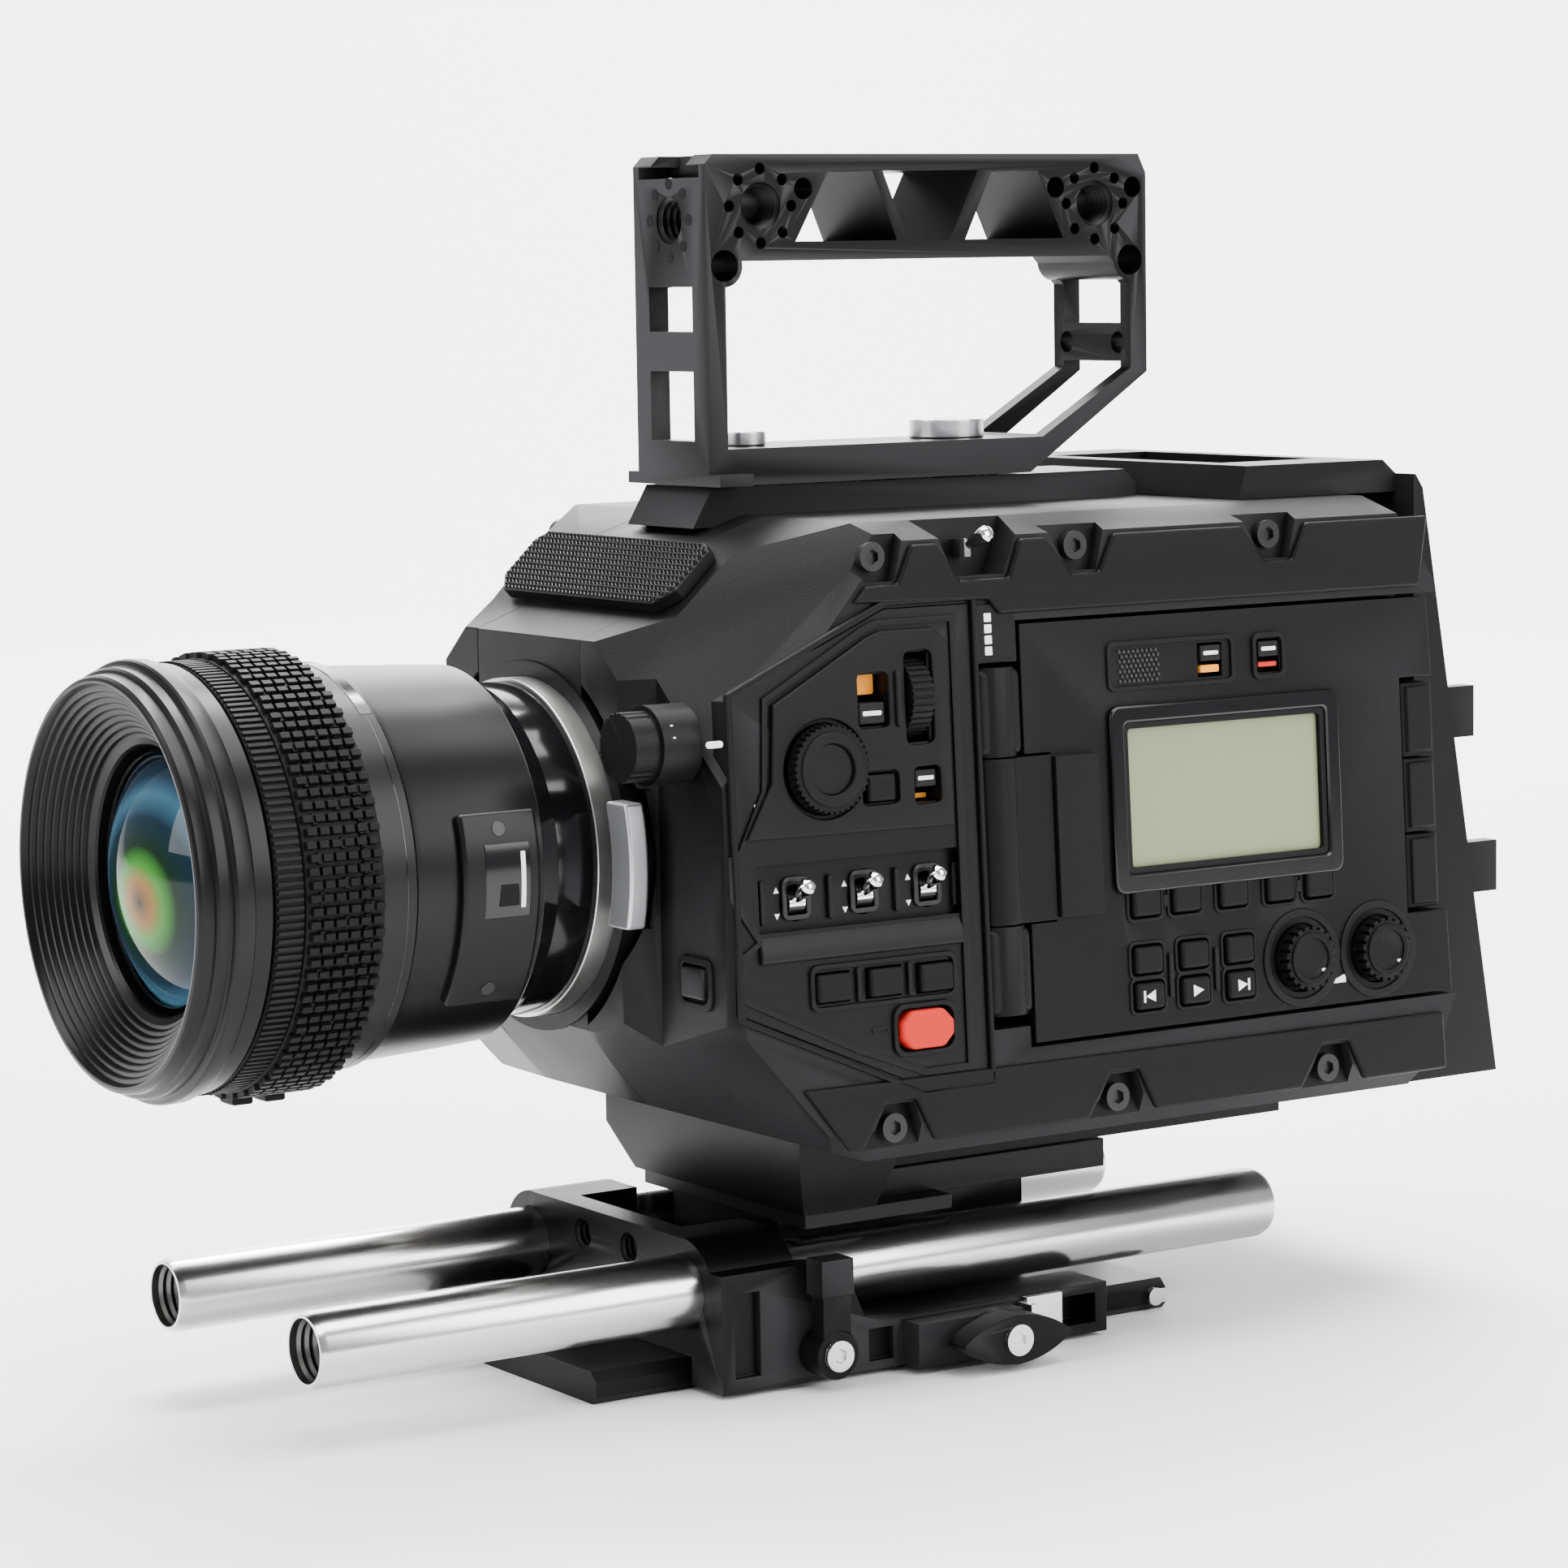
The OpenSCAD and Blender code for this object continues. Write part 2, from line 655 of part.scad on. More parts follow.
module monitor_door() {
    color("#1b1b1e") difference() {
        union() {
            on_side(0, 0, -door_t) rotate([90, 0, 90]) linear_extrude(door_t) polygon([
                [door_y, door_v], [door_y, door_v + door_h], [door_y + door_len - 1, door_v + door_h],
                [door_y + door_len + 2.3, door_v]
            ]);
            on_side(arm_end + gap, arm_v0 + 0.4, -1) cube([2.8, 10.7, arm_v1 - arm_v0 - 0.8]);
        }
        on_side(hinge_y, arm_v0 - gap, -20) cube([40, arm_end + gap - hinge_y, arm_v1 - arm_v0 + 2 * gap]);
        on_side(0, (arm_v0 + arm_v1) / 2, hinge_off - 2) cyl_y(stub_r + shaft_gap, arm_end - 1, arm_end + 8.5);
        for (k = KEYS) on_side(k[1], k[2]) key_hole(key_w, key_h, 4.5);
        on_side(lcd_y, lcd_v, -2) cube([4, lcd_len, lcd_h]);
        on_side(channel_y, door_switch_v - 1.4) key_hole(5.4, 3.4 + 2.8, 4);
        on_side(door_lock_y, door_switch_v - 1.4) key_hole(5.4, 3.4 + 2.8, 4);
        for (y = [knob_a_y, knob_b_y]) {
            on_side(y, knob_v) cyl_out(2.05, -5, 5);
            on_side(y, knob_v) cyl_out(knob_r + 0.5, -1.2, 5);
        }
        on_side(door_y + 9, door_v + 6, -door_t - 1) cube([2.2, 86, 71]);
        // Notch round the port flaps
        on_side(flap_y - 1.1, flap_v[2] - 0.8, -door_t - 1) cube([door_t + 4, 14, 49.6]);
    }
}

module door_displays() {
    color("#8d9273") on_side(lcd_y + 0.2, lcd_v + 0.2, -2) cube([1.4, lcd_len - 0.4, lcd_h - 0.4]);
    color("#0b0b0d") on_side(door_y + 9.2, door_v + 6.2, -door_t + 0.1) cube([1.1, 85.6, 70.6]);
}

module door_key(k) {
    color("#1c1c1e") on_side(k[1], k[2]) key(key_w, key_h, 1.4, 2.6);
}

module level_knob(y) {
    grips = 20;
    color("#141415") on_side(y, knob_v) difference() {
        union() {
            cyl_out(knob_r, -1, 3.4);
            cyl_out(2, -4.6, 0);
        }
        for (i = [0:grips - 1]) {
            rotate([i * 360 / grips, 0, 0]) translate([0.8, -0.4, knob_r - 0.6]) cube([4, 0.8, 1]);
        }
    }
}

module door_slider(y) {
    color("#222224") on_side(y, door_switch_v) key(5.2, 3.2, 0.4, 2.6);
}

// Three rubber flaps over the side ports, in the notch of the door.
module port_covers() {
    color("#141414") for (v = flap_v) on_side(flap_y, v, -door_t - 1.15) rotate([90, 0, 90]) {
        linear_extrude(door_t) polygon([[0, 0], [8.6, 0], [8.6, 15.6], [0, 15.6]]);
        linear_extrude(door_t + 0.9) polygon([[1, 1], [7.6, 1], [7.6, 14.6], [1, 14.6]]);
    }
}

module lens_barrel() {
    color("#141416") translate([0, 0, axis_z]) rotate([-90, 0, 0]) rotate_extrude() polygon([
        [lens_r - 3.1, lens_front], [lens_r - 4.3, lens_front], [28.6, flange_y + 1], [glass_r + 0.1, flange_y + 3],
        [glass_r + 0.1, glass_back], [17, glass_back + 0.1], [17, flange_y + 24], [12, flange_y + 25],
        [12, barrel_end], [22, barrel_end + 6], [22, male_y], [male_r, male_y], [male_r, ring_front - 0.1],
        [33.4, ring_front - 0.1],
        [33.4, barrel_end + 5], [35, barrel_end + 0.5], [37.6, barrel_end], [39.2, focus_y1 + 8.5],
        [40, focus_y1 + 8], [40, focus_y1 + 0.6], [focus_bore - 0.4, focus_y1 + 0.4],
        [focus_bore - 0.4, focus_y0 - 0.4], [focus_r, focus_y0 - 0.6], [focus_r, flange_y + 3],
        [lens_r - 0.7, flange_y + 2.6], [lens_r, flange_y + 2], [lens_r, flange_y - 1],
        [lens_r - 1.4, flange_y - 1.6], [lens_r - 1.4, lens_front + 3.6], [lens_r - 2.6, lens_front + 3]
    ]);
}

module lens_front_glass() {
    dome_r = 40;
    color("#3c4c5c") intersection() {
        translate([0, flange_y - 3 + dome_r, axis_z]) rotate([-90, 0, 0]) sphere(r = dome_r, $fn = 96);
        cyl_y(glass_r, flange_y - 6, glass_back, 0, axis_z);
    }
}

module focus_ring() {
    color("#0e0e0f") difference() {
        union() {
            cyl_y(focus_r, focus_y0, focus_y1, 0, axis_z);
            cyl_y(belt_r - 1.4, belt_y0, focus_y1, 0, axis_z);
            for (i = [0:3:belt_teeth - 1]) {
                translate([0, 0, axis_z]) rotate([0, i * 360 / belt_teeth, 0])
                    box([-0.8, belt_y0, belt_r - 2.4], [0.8, focus_y1, belt_r]);
            }
            for (y = [belt_y0 + 3, belt_y0 + 10]) {
                box([-3, y, axis_z - belt_r - 1.8], [3, y + 4.4, axis_z - belt_r + 1.6]);
            }
        }
        cyl_y(focus_bore, focus_y0 - 1, focus_y1 + 1, 0, axis_z);
    }
}

module af_switch() {
    color("#1d1d1f") box([38.6, -29, axis_z - 5.4], [40.4, -24.6, axis_z + 0.6]);
}

// A ring of locating holes round a large threaded hole, drilled along Z.
module accessory_hole(deep, pins = 8) {
    cylinder(r = acc_r, h = deep);
    for (i = [0:pins - 1]) rotate(i * 360 / pins) translate([acc_r + 2.7, 0, 0]) cylinder(r = 1.2, h = deep, $fn = 16);
}

module handle_windows(top, bottom) {
    for (w = [[29.8, 40.6, 21.6, 46.6], [43.2, 67.2, 49.2, 59.8], [70.8, 82.4, 63.8, 89]]) {
        polygon([[w[0], top], [w[1], top], [w[3], bottom], [w[2], bottom]]);
    }
}

module top_handle() {
    half = handle_w / 2;
    back = handle_len;
    beam = handle_h - grip_h;
    color("#1a1a1c") translate([0, handle_y, handle_z]) difference() {
        union() {
            translate([-half, 0, 0]) rotate([90, 0, 90]) linear_extrude(handle_w) difference() {
                polygon([
                    [0, 0], [back - 31, 0], [back, 20.4], [back, handle_h - 4], [back - 2, handle_h],
                    [2, handle_h], [0, handle_h - 2]
                ]);
                polygon([
                    [4.6, 7.4], [back - 27.7, 7.4], [back - 4.3, 21.3], [back - 4.3, beam - 6],
                    [back - 10, beam], [8, beam], [4.6, beam - 4]
                ]);
                handle_windows(handle_h - 3.4, beam + 3.8);
            }
            translate([-half - 4, 0, 0]) cube([handle_w + 8, 8, 2.4]);
            // Round bosses for the strap lugs
            for (y = [4.4, back - 4.4]) {
                translate([-half, y, beam - 0.9]) rotate([0, 90, 0]) cylinder(r = 4.3, h = handle_w);
            }
        }
        // Accessory holes in both sides, in front and at the back
        for (y = [13.2, back - 13.6]) {
            translate([-half - 1, y, handle_h - 10.4]) rotate([0, 90, 0]) accessory_hole(handle_w + 2);
        }
        for (y = [4.4, back - 4.4]) {
            translate([-half - 1, y, beam - 0.9]) rotate([0, 90, 0]) cylinder(r = 3.2, h = handle_w + 2);
        }
        for (y = [23.6, back - 23.8, back - 3.6]) {
            translate([-half - 1, y, handle_h - 7]) rotate([0, 90, 0]) cylinder(r = 2.2, h = handle_w + 2);
        }
        translate([0, -1, handle_h - 13]) rotate([-90, 0, 0]) cylinder(r = acc_r, h = 9);
        // Windows in the front and back posts
        box([-8.2, -1, 31], [8.2, 6, 40]);
        box([-8.2, -1, 9], [8.2, 6, 23]);
        box([-10, back - 12, 30.7], [10, back + 1, 39.9]);
        box([-10, back - 27, 7.3], [10, back + 1, 22.6]);
        for (x = [-9, 9]) translate([x, back - 12, 26.6]) rotate([-90, 0, 0]) cylinder(r = 2.3, h = 20);
        // Accessory shoe slot under the top face
        box([-11.4, -1, handle_h - 4.6], [11.4, 7, handle_h - 2.2]);
        box([-6.6, -1, handle_h - 4.6], [6.6, 7, handle_h + 1]);
        // Screw holes to the rail
        for (y = [16.8, 68]) translate([0, y, -1]) cylinder(r = 2.6, h = 20);
    }
}

// A cap screw with a hexagon socket.
module cap_screw(r, h, shank, length) {
    difference() {
        union() {
            cylinder(r = r, h = h);
            translate([0, 0, -length]) cylinder(r = shank, h = length + eps);
        }
        translate([0, 0, h - 2]) cylinder(r = r * 0.4, h = 3, $fn = 6);
    }
}

module silver_screws() {
    color("silver") {
        translate([0, handle_y + 68, handle_z + 7.4]) cap_screw(7.9, 4, 2.5, 12);
        translate([0, handle_y + 16.8, handle_z + 7.4]) cap_screw(4.8, 3, 2.5, 12);
    }
}

module camera_shoe() {
    low = block_top + 0.2;
    high = floor_z - 11;
    color("#151517") difference() {
        union() {
            box([-31, 45.6, low - 2.6], [31, 82, low + 0.4]);
            box([-25, 64.6, low], [25, 126, high]);
            box([-20, 46, plate_top + 0.1], [20, 108, low]);
        }
        for (y = [72, 100]) translate([0, y, plate_top]) cylinder(r = 3.2, h = high);
    }
}

module base_bracket() {
    inner = base_half - 6;
    color("#17171a") difference() {
        union() {
            box([-far_half, block_y, base_lift], [base_half, base_end, plate_top]);
            box([-far_half, block_y, base_lift], [far_half, block_y + block_len, rod_z]);
            box([-rod_x, block_y, rod_z - 1], [rod_x, block_y + block_len, block_top - 0.6]);
            for (s = [-1, 1]) cyl_y(lobe_r, block_y, block_y + block_len, s * rod_x, rod_z);
            // Side cheeks; the one on the operator's side carries the clamp lever
            for (s = [-1, 1]) {
                translate([s > 0 ? inner : -far_half, 0, 0]) rotate([90, 0, 90])
                    linear_extrude(s > 0 ? 6 : far_half - rod_x - rod_r - 0.5) polygon([
                    [block_y, base_lift], [62, base_lift], [62, plate_top], [51, plate_top + 1],
                    [46, 24], [36, 25], [block_y, 25]
                ]);
            }
            box([base_half - 1, 60, base_lift + 0.4], [base_half + 6, 86, plate_top - 1]);
        }
        // Groove for the dovetail plate
        box([-dovetail_w / 2 - 0.4, block_y - 1, -1], [dovetail_w / 2 + 0.4, base_end + 1, groove_top]);
        // Rod bores
        for (s = [-1, 1]) cyl_y(rod_r + bore_clear, block_y - 1, block_y + block_len + 1, s * rod_x, rod_z);
        // Threaded holes between the rods and the pocket behind the front wall
        for (x = [-9, 9]) cyl_y(small_r, block_y - 1, block_y + 7, x, rod_z + 5.2);
        box([-20, block_y + 6, plate_top + 1], [20, block_y + block_len + 1, block_top + 1]);
        // Truss windows in the near and far cheeks
        for (e = [[1, base_half], [-1, far_half]]) mirror([e[0] > 0 ? 0 : 1, 0, 0]) {
            box([e[1] - 1.6, block_y + 3, 4], [e[1] + 1, block_y + 9, 21]);
            box([e[1] - 1.6, 52, 3], [e[1] + 1, 58, 9.6]);
            box([e[1] - 6, base_end - 12, 3.2], [e[1] + 1, base_end - 3, plate_top - 2]);
        }
    }
}

module rods() {
    color("silver") for (s = [-1, 1]) {
        translate([s * rod_x, rod_front, rod_z]) rotate([-90, 0, 0]) rotate_extrude() polygon([
            [rod_r - rod_wall, 0], [rod_r - 0.6, 0], [rod_r, 1.6], [rod_r, rod_len - 1.6],
            [rod_r - 0.6, rod_len], [rod_r - rod_wall, rod_len]
        ]);
    }
}

// Hub at the bottom, arm upwards, held by a torx screw.
module rod_clamp_lever() {
    y = 39.6;
    z = base_lift + 6.4;
    color("#161618") translate([base_half + 0.4, y, z]) {
        cyl_out(4.9, 0, 7);
        translate([2.4, -3.3, 0]) cube([4.4, 6.6, 17]);
        translate([1.4, -3.8, 12]) cube([5.8, 7.6, 7.4]);
    }
    color("silver") translate([base_half + 0.4, y, z]) difference() {
        cyl_out(3.2, 7, 8);
        translate([7.2, 0, 0]) rotate([0, 90, 0]) cylinder(r = 1.4, h = 2, $fn = 6);
    }
}

module wing_knob() {
    y = 78;
    z = 6.7;
    color("#161618") translate([base_half + 6.4, y, z]) {
        cyl_out(5.1, 0, 9);
        intersection() {
            translate([3, -13.2, -5]) cube([6, 26.4, 10]);
            rotate([90, 0, 90]) linear_extrude(12) intersection() {
                translate([0, -16]) circle(r = 21);
                translate([0, 16]) circle(r = 21);
            }
        }
    }
    color("silver") translate([base_half + 6.4, y, z]) difference() {
        cyl_out(3.2, 9, 9.8);
        translate([9.2, 0, 0]) rotate([0, 90, 0]) cylinder(r = 1.4, h = 2, $fn = 6);
    }
}

module plate_catch() {
    color("silver") {
        box([base_half + 0.4, 90, 1.4], [base_half + 2, 99, plate_top - 0.2]);
        box([base_half + 0.4, 88.6, 1.2], [base_half + 5.4, 90.2, plate_top - 1]);
    }
}

module dovetail_plate() {
    half = dovetail_w / 2;
    color("#131315") difference() {
        translate([0, dovetail_y + dovetail_len, 0]) rotate([90, 0, 0]) linear_extrude(dovetail_len) polygon([
            [-half + 1.5, 0], [half - 1.5, 0], [half, 1.5], [half, dovetail_t - 2], [half - 2, dovetail_t],
            [-half + 2, dovetail_t], [-half, dovetail_t - 2], [-half, 1.5]
        ]);
        for (y = [dovetail_y + 14, dovetail_y + dovetail_len - 9]) {
            translate([0, y, -1]) cylinder(r = acc_r, h = 20);
        }
    }
    color("silver") for (y = [dovetail_y + dovetail_len - 3.6]) {
        translate([half - eps, y, dovetail_t / 2]) rotate([0, 90, 0]) cylinder(r = 1.9, h = 1.4);
    }
}

chassis();
operator_shell();
off_shell();
vent_mesh();
rear_housing();
top_rail();
shell_screws();
mount_ring();
lens_release();
sensor_block();
nd_knob();
nd_wheel();
nd_belt();
control_panel();
menu_dial();
thumb_wheel();
source_switch();
panel_lock();
auto_wb_button();
for (k = PANEL_KEYS) panel_key(k);
for (t = TOGGLES) panel_toggle(t);
power_toggle();
hinge_arm();
monitor_door();
door_displays();
for (k = KEYS) door_key(k);
level_knob(knob_a_y);  // level_knob_a
level_knob(knob_b_y);  // level_knob_b
door_slider(channel_y);  // channel_switch
door_slider(door_lock_y);  // door_lock_switch
port_covers();
lens_barrel();
lens_front_glass();
focus_ring();
af_switch();
top_handle();
silver_screws();
camera_shoe();
base_bracket();
rods();
rod_clamp_lever();
wing_knob();
plate_catch();
dovetail_plate();
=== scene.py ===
import json
import math

import bmesh
import bpy
from mathutils import Matrix, Vector

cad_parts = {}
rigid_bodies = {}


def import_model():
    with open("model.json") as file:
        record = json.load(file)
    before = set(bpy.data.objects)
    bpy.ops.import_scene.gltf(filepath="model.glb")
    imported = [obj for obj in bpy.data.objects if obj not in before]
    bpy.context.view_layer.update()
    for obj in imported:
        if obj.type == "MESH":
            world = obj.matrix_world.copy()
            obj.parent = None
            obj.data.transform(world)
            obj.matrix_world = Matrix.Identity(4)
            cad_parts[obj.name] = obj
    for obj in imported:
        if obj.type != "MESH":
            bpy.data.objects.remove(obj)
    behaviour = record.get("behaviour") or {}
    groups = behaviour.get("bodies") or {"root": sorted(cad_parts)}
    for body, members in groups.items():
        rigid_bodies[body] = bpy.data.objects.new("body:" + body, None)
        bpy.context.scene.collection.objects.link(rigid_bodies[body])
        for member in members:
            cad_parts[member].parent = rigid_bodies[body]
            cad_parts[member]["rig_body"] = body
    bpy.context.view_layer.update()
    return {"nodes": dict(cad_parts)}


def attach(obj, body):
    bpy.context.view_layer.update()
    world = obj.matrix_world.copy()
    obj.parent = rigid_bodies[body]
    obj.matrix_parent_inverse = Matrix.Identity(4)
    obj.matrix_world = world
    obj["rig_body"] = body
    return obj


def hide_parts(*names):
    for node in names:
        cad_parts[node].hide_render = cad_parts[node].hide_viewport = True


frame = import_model()
nodes = frame["nodes"]
MM = 0.001


# ---------------------------------------------------------------------------------------------
# The table, the backdrop, the lamps and the viewpoint.
# A white sweep under a camera rig, lit by large soft panels overhead and at both sides.

def sweep():
    steps = 12
    near, far, radius = -1.6, 1.9, 0.9
    line = [(near, 0.0), (far, 0.0)]
    for i in range(1, steps + 1):
        angle = i / steps * math.pi / 2
        line.append((far + radius * math.sin(angle), radius * (1 - math.cos(angle))))
    line.append((far + radius, 3.2))
    turn = Matrix.Rotation(math.radians(56.7), 4, "Z")
    mesh = bpy.data.meshes.new("sweep")
    points = [turn @ Vector((side * 3.2, y, z)) for y, z in line for side in (-1, 1)]
    faces = [(2 * i, 2 * i + 1, 2 * i + 3, 2 * i + 2) for i in range(len(line) - 1)]
    mesh.from_pydata(points, [], faces)
    for face in mesh.polygons:
        face.use_smooth = True
    sheet = bpy.data.objects.new("sweep", mesh)
    bpy.context.scene.collection.objects.link(sheet)
    paper = bpy.data.materials.new("sweep_paper")
    paper.use_nodes = True
    shader = paper.node_tree.nodes["Principled BSDF"]
    shader.inputs["Base Color"].default_value = (0.9, 0.9, 0.91, 1)
    shader.inputs["Roughness"].default_value = 0.7
    mesh.materials.append(paper)


def lamp(name, place, aim, width, height, power, colour=(1, 1, 1)):
    data = bpy.data.lights.new(name, "AREA")
    data.shape = "RECTANGLE"
    data.size = width
    data.size_y = height
    data.energy = power
    data.color = colour
    panel = bpy.data.objects.new(name, data)
    panel.location = place
    panel.rotation_euler = (Vector(aim) - Vector(place)).to_track_quat("-Z", "Y").to_euler()
    bpy.context.scene.collection.objects.link(panel)


def viewpoint():
    data = bpy.data.cameras.new("viewpoint")
    data.lens = 106.55
    data.sensor_width = 36.0
    data.clip_end = 20
    eye = Vector((0.8016, -0.4635, 0.2233))
    azimuth, pitch, roll = math.radians(56.73), math.radians(6.41), math.radians(-0.9)
    back = Vector((math.sin(azimuth) * math.cos(pitch), -math.cos(azimuth) * math.cos(pitch), math.sin(pitch)))
    level = Vector((0, 0, 1)).cross(back).normalized()
    rise = back.cross(level)
    right = math.cos(roll) * level + math.sin(roll) * rise
    up = math.cos(roll) * rise - math.sin(roll) * level
    camera = bpy.data.objects.new("viewpoint", data)
    camera.matrix_world = Matrix.Translation(eye) @ Matrix((right, up, back)).transposed().to_4x4()
    bpy.context.scene.collection.objects.link(camera)
    bpy.context.scene.camera = camera


sweep()
lamp("panel_top", (0.1, 0.1, 1.5), (0, 0.05, 0.1), 1.5, 1.3, 62)
lamp("panel_left", (-0.2, -1.5, 0.75), (0, 0, 0.1), 1.1, 0.9, 30)
lamp("panel_right", (1.5, 0.75, 0.9), (0, 0.05, 0.1), 1.0, 1.2, 34)
lamp("panel_back", (-1.3, 0.9, 0.9), (0, 0.05, 0.15), 1.0, 1.0, 10)
lamp("wall_wash", (-1.2, 0.8, 2.4), (-2.2, 1.45, 0.6), 1.6, 0.6, 260)
viewpoint()
world = bpy.data.worlds.new("studio")
bpy.context.scene.world = world
world.use_nodes = True
world.node_tree.nodes["Background"].inputs["Color"].default_value = (0.93, 0.94, 0.97, 1)
world.node_tree.nodes["Background"].inputs["Strength"].default_value = 0.6


# ---------------------------------------------------------------------------------------------
# The dovetail plate under the rig.
# A milled aluminium plate, black anodised, with two tripod holes and a steel stop button at its rear.

AXIS = 107.7


def fine_grain_group():
    group = bpy.data.node_groups.new("fine_grain", "ShaderNodeTree")
    for name, value in (("Grain per metre", 2500.0), ("Stretch", 1.0)):
        socket = group.interface.new_socket(name, in_out="INPUT", socket_type="NodeSocketFloat")
        socket.default_value = value
    group.interface.new_socket("Height", in_out="OUTPUT", socket_type="NodeSocketFloat")
    group.interface.new_socket("Patches", in_out="OUTPUT", socket_type="NodeSocketFloat")
    made, link = group.nodes.new, group.links.new
    inside, outside = made("NodeGroupInput"), made("NodeGroupOutput")
    place = made("ShaderNodeTexCoord")
    along = made("ShaderNodeCombineXYZ")
    along.inputs[0].default_value = along.inputs[2].default_value = 1.0
    drawn = made("ShaderNodeVectorMath")
    drawn.operation = "MULTIPLY"
    grain, soft = made("ShaderNodeTexNoise"), made("ShaderNodeTexNoise")
    grain.inputs["Detail"].default_value = 2.0
    soft.inputs["Scale"].default_value = 45.0
    soft.inputs["Detail"].default_value = 3.0
    link(inside.outputs["Stretch"], along.inputs[1])
    link(place.outputs["Object"], drawn.inputs[0])
    link(along.outputs[0], drawn.inputs[1])
    link(drawn.outputs[0], grain.inputs["Vector"])
    link(place.outputs["Object"], soft.inputs["Vector"])
    link(inside.outputs["Grain per metre"], grain.inputs["Scale"])
    link(grain.outputs["Fac"], outside.inputs["Height"])
    link(soft.outputs["Fac"], outside.inputs["Patches"])
    return group


def edge_wear_and_highlight_group():
    group = bpy.data.node_groups.new("edge_wear_and_highlight", "ShaderNodeTree")
    group.interface.new_socket("Wear and highlight", in_out="OUTPUT", socket_type="NodeSocketFloat")
    made, link = group.nodes.new, group.links.new
    # Convex edges, picked out by pointiness, get a lighter tone: partly rubbed wear, partly a painted highlight along
    # the edges.
    outside, geometry, ramp = made("NodeGroupOutput"), made("ShaderNodeNewGeometry"), made("ShaderNodeMapRange")
    ramp.inputs["From Min"].default_value = 0.53
    ramp.inputs["From Max"].default_value = 0.66
    link(geometry.outputs["Pointiness"], ramp.inputs["Value"])
    link(ramp.outputs["Result"], outside.inputs["Wear and highlight"])
    return group


fine_grain = fine_grain_group()
edge_wear_and_highlight = edge_wear_and_highlight_group()


def coated(name, colour, rough, grain=2500.0, worn_and_lit_tone=(0.05, 0.05, 0.055), wear_and_highlight=0.3, metal=0.0, bump=0.00004,
           patch=0.06, gloss=0.1, stretch=1.0):
    """A finish with a fine grain in its surface, soft patches in its shine and lightened edges: partly rubbed wear,
    partly a painted edge highlight.
    """
    material = bpy.data.materials.new(name)
    material.use_nodes = True
    tree = material.node_tree
    shader = tree.nodes["Principled BSDF"]
    made, link = tree.nodes.new, tree.links.new
    shader.inputs["Metallic"].default_value = metal
    shader.inputs["Specular IOR Level"].default_value = gloss
    fine = made("ShaderNodeGroup")
    fine.node_tree = fine_grain
    fine.inputs["Grain per metre"].default_value = grain
    fine.inputs["Stretch"].default_value = stretch
    bumps = made("ShaderNodeBump")
    bumps.inputs["Distance"].default_value = bump
    link(fine.outputs["Height"], bumps.inputs["Height"])
    link(bumps.outputs["Normal"], shader.inputs["Normal"])
    rub_and_highlight = made("ShaderNodeGroup")
    rub_and_highlight.node_tree = edge_wear_and_highlight
    amount = made("ShaderNodeMath")
    amount.operation = "MULTIPLY"
    amount.inputs[1].default_value = wear_and_highlight
    link(rub_and_highlight.outputs["Wear and highlight"], amount.inputs[0])
    # The lighter edge tone mixed in here is partly wear and partly a painted edge highlight.
    tone = made("ShaderNodeMix")
    tone.data_type = "RGBA"
    tone.inputs["A"].default_value = (*colour, 1)
    tone.inputs["B"].default_value = (*worn_and_lit_tone, 1)
    link(amount.outputs[0], tone.inputs["Factor"])
    link(tone.outputs["Result"], shader.inputs["Base Color"])
    rough_range = made("ShaderNodeMapRange")
    rough_range.inputs["To Min"].default_value = max(0.02, rough - patch)
    rough_range.inputs["To Max"].default_value = rough + patch
    link(fine.outputs["Patches"], rough_range.inputs["Value"])
    link(rough_range.outputs["Result"], shader.inputs["Roughness"])
    return material


def put(name, mesh, body, width=0.0, segments=2, angle=28, stands_for=()):
    """Shows a mesh as a piece that moves with a body, its sharp edges broken by a small radius."""
    piece = bpy.data.objects.new(name, mesh)
    bpy.context.scene.collection.objects.link(piece)
    if width > 0:
        bevel = piece.modifiers.new("broken_edges", "BEVEL")
        bevel.width = width * MM
        bevel.segments = segments
        bevel.limit_method = "ANGLE"
        bevel.angle_limit = math.radians(angle)
        bevel.use_clamp_overlap = True
        bevel.harden_normals = True
    for node in stands_for:
        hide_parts(node)
    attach(piece, body)
    return piece


def rounded(node, width, material, second=None, where=None, segments=2, angle=28):
    """A CAD piece with its edges broken; faces whose middle (in millimetres) passes 'where' get the second finish."""
    source = nodes[node]
    mesh = source.data.copy()
    work = bmesh.new()
    work.from_mesh(mesh)
    bmesh.ops.remove_doubles(work, verts=work.verts, dist=2e-6)
    bmesh.ops.dissolve_limit(work, angle_limit=math.radians(0.6), verts=work.verts, edges=work.edges)
    work.to_mesh(mesh)
    work.free()
    mesh.name = node + "_piece"
    mesh.materials.clear()
    mesh.materials.append(material)
    if second:
        mesh.materials.append(second)
    for face in mesh.polygons:
        face.material_index = 1 if where and where(*(Vector(face.center) / MM)) else 0
    if mesh.attributes.get("custom_normal"):
        mesh.attributes.remove(mesh.attributes["custom_normal"])
    mesh.shade_smooth()
    return put(node + "_piece", mesh, source["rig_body"], width, segments, angle, (node,))


anodised = coated("anodised", (0.0022, 0.0022, 0.0024), 0.34, grain=5200, bump=0.00002, worn_and_lit_tone=(0.08, 0.08, 0.085))
bright_steel = coated("bright_steel", (0.62, 0.62, 0.64), 0.26, grain=5000, bump=0.00001, metal=1.0,
                      worn_and_lit_tone=(0.8, 0.8, 0.8), gloss=0.5)
rounded("dovetail_plate", 0.45, anodised, bright_steel, lambda x, y, z: x > 31.9 and y > 131 and 1.2 < z < 5.3)


# ---------------------------------------------------------------------------------------------
# The base bracket with its rod block.
# Milled from one aluminium block and black anodised; two quarter-inch threads open to the front.

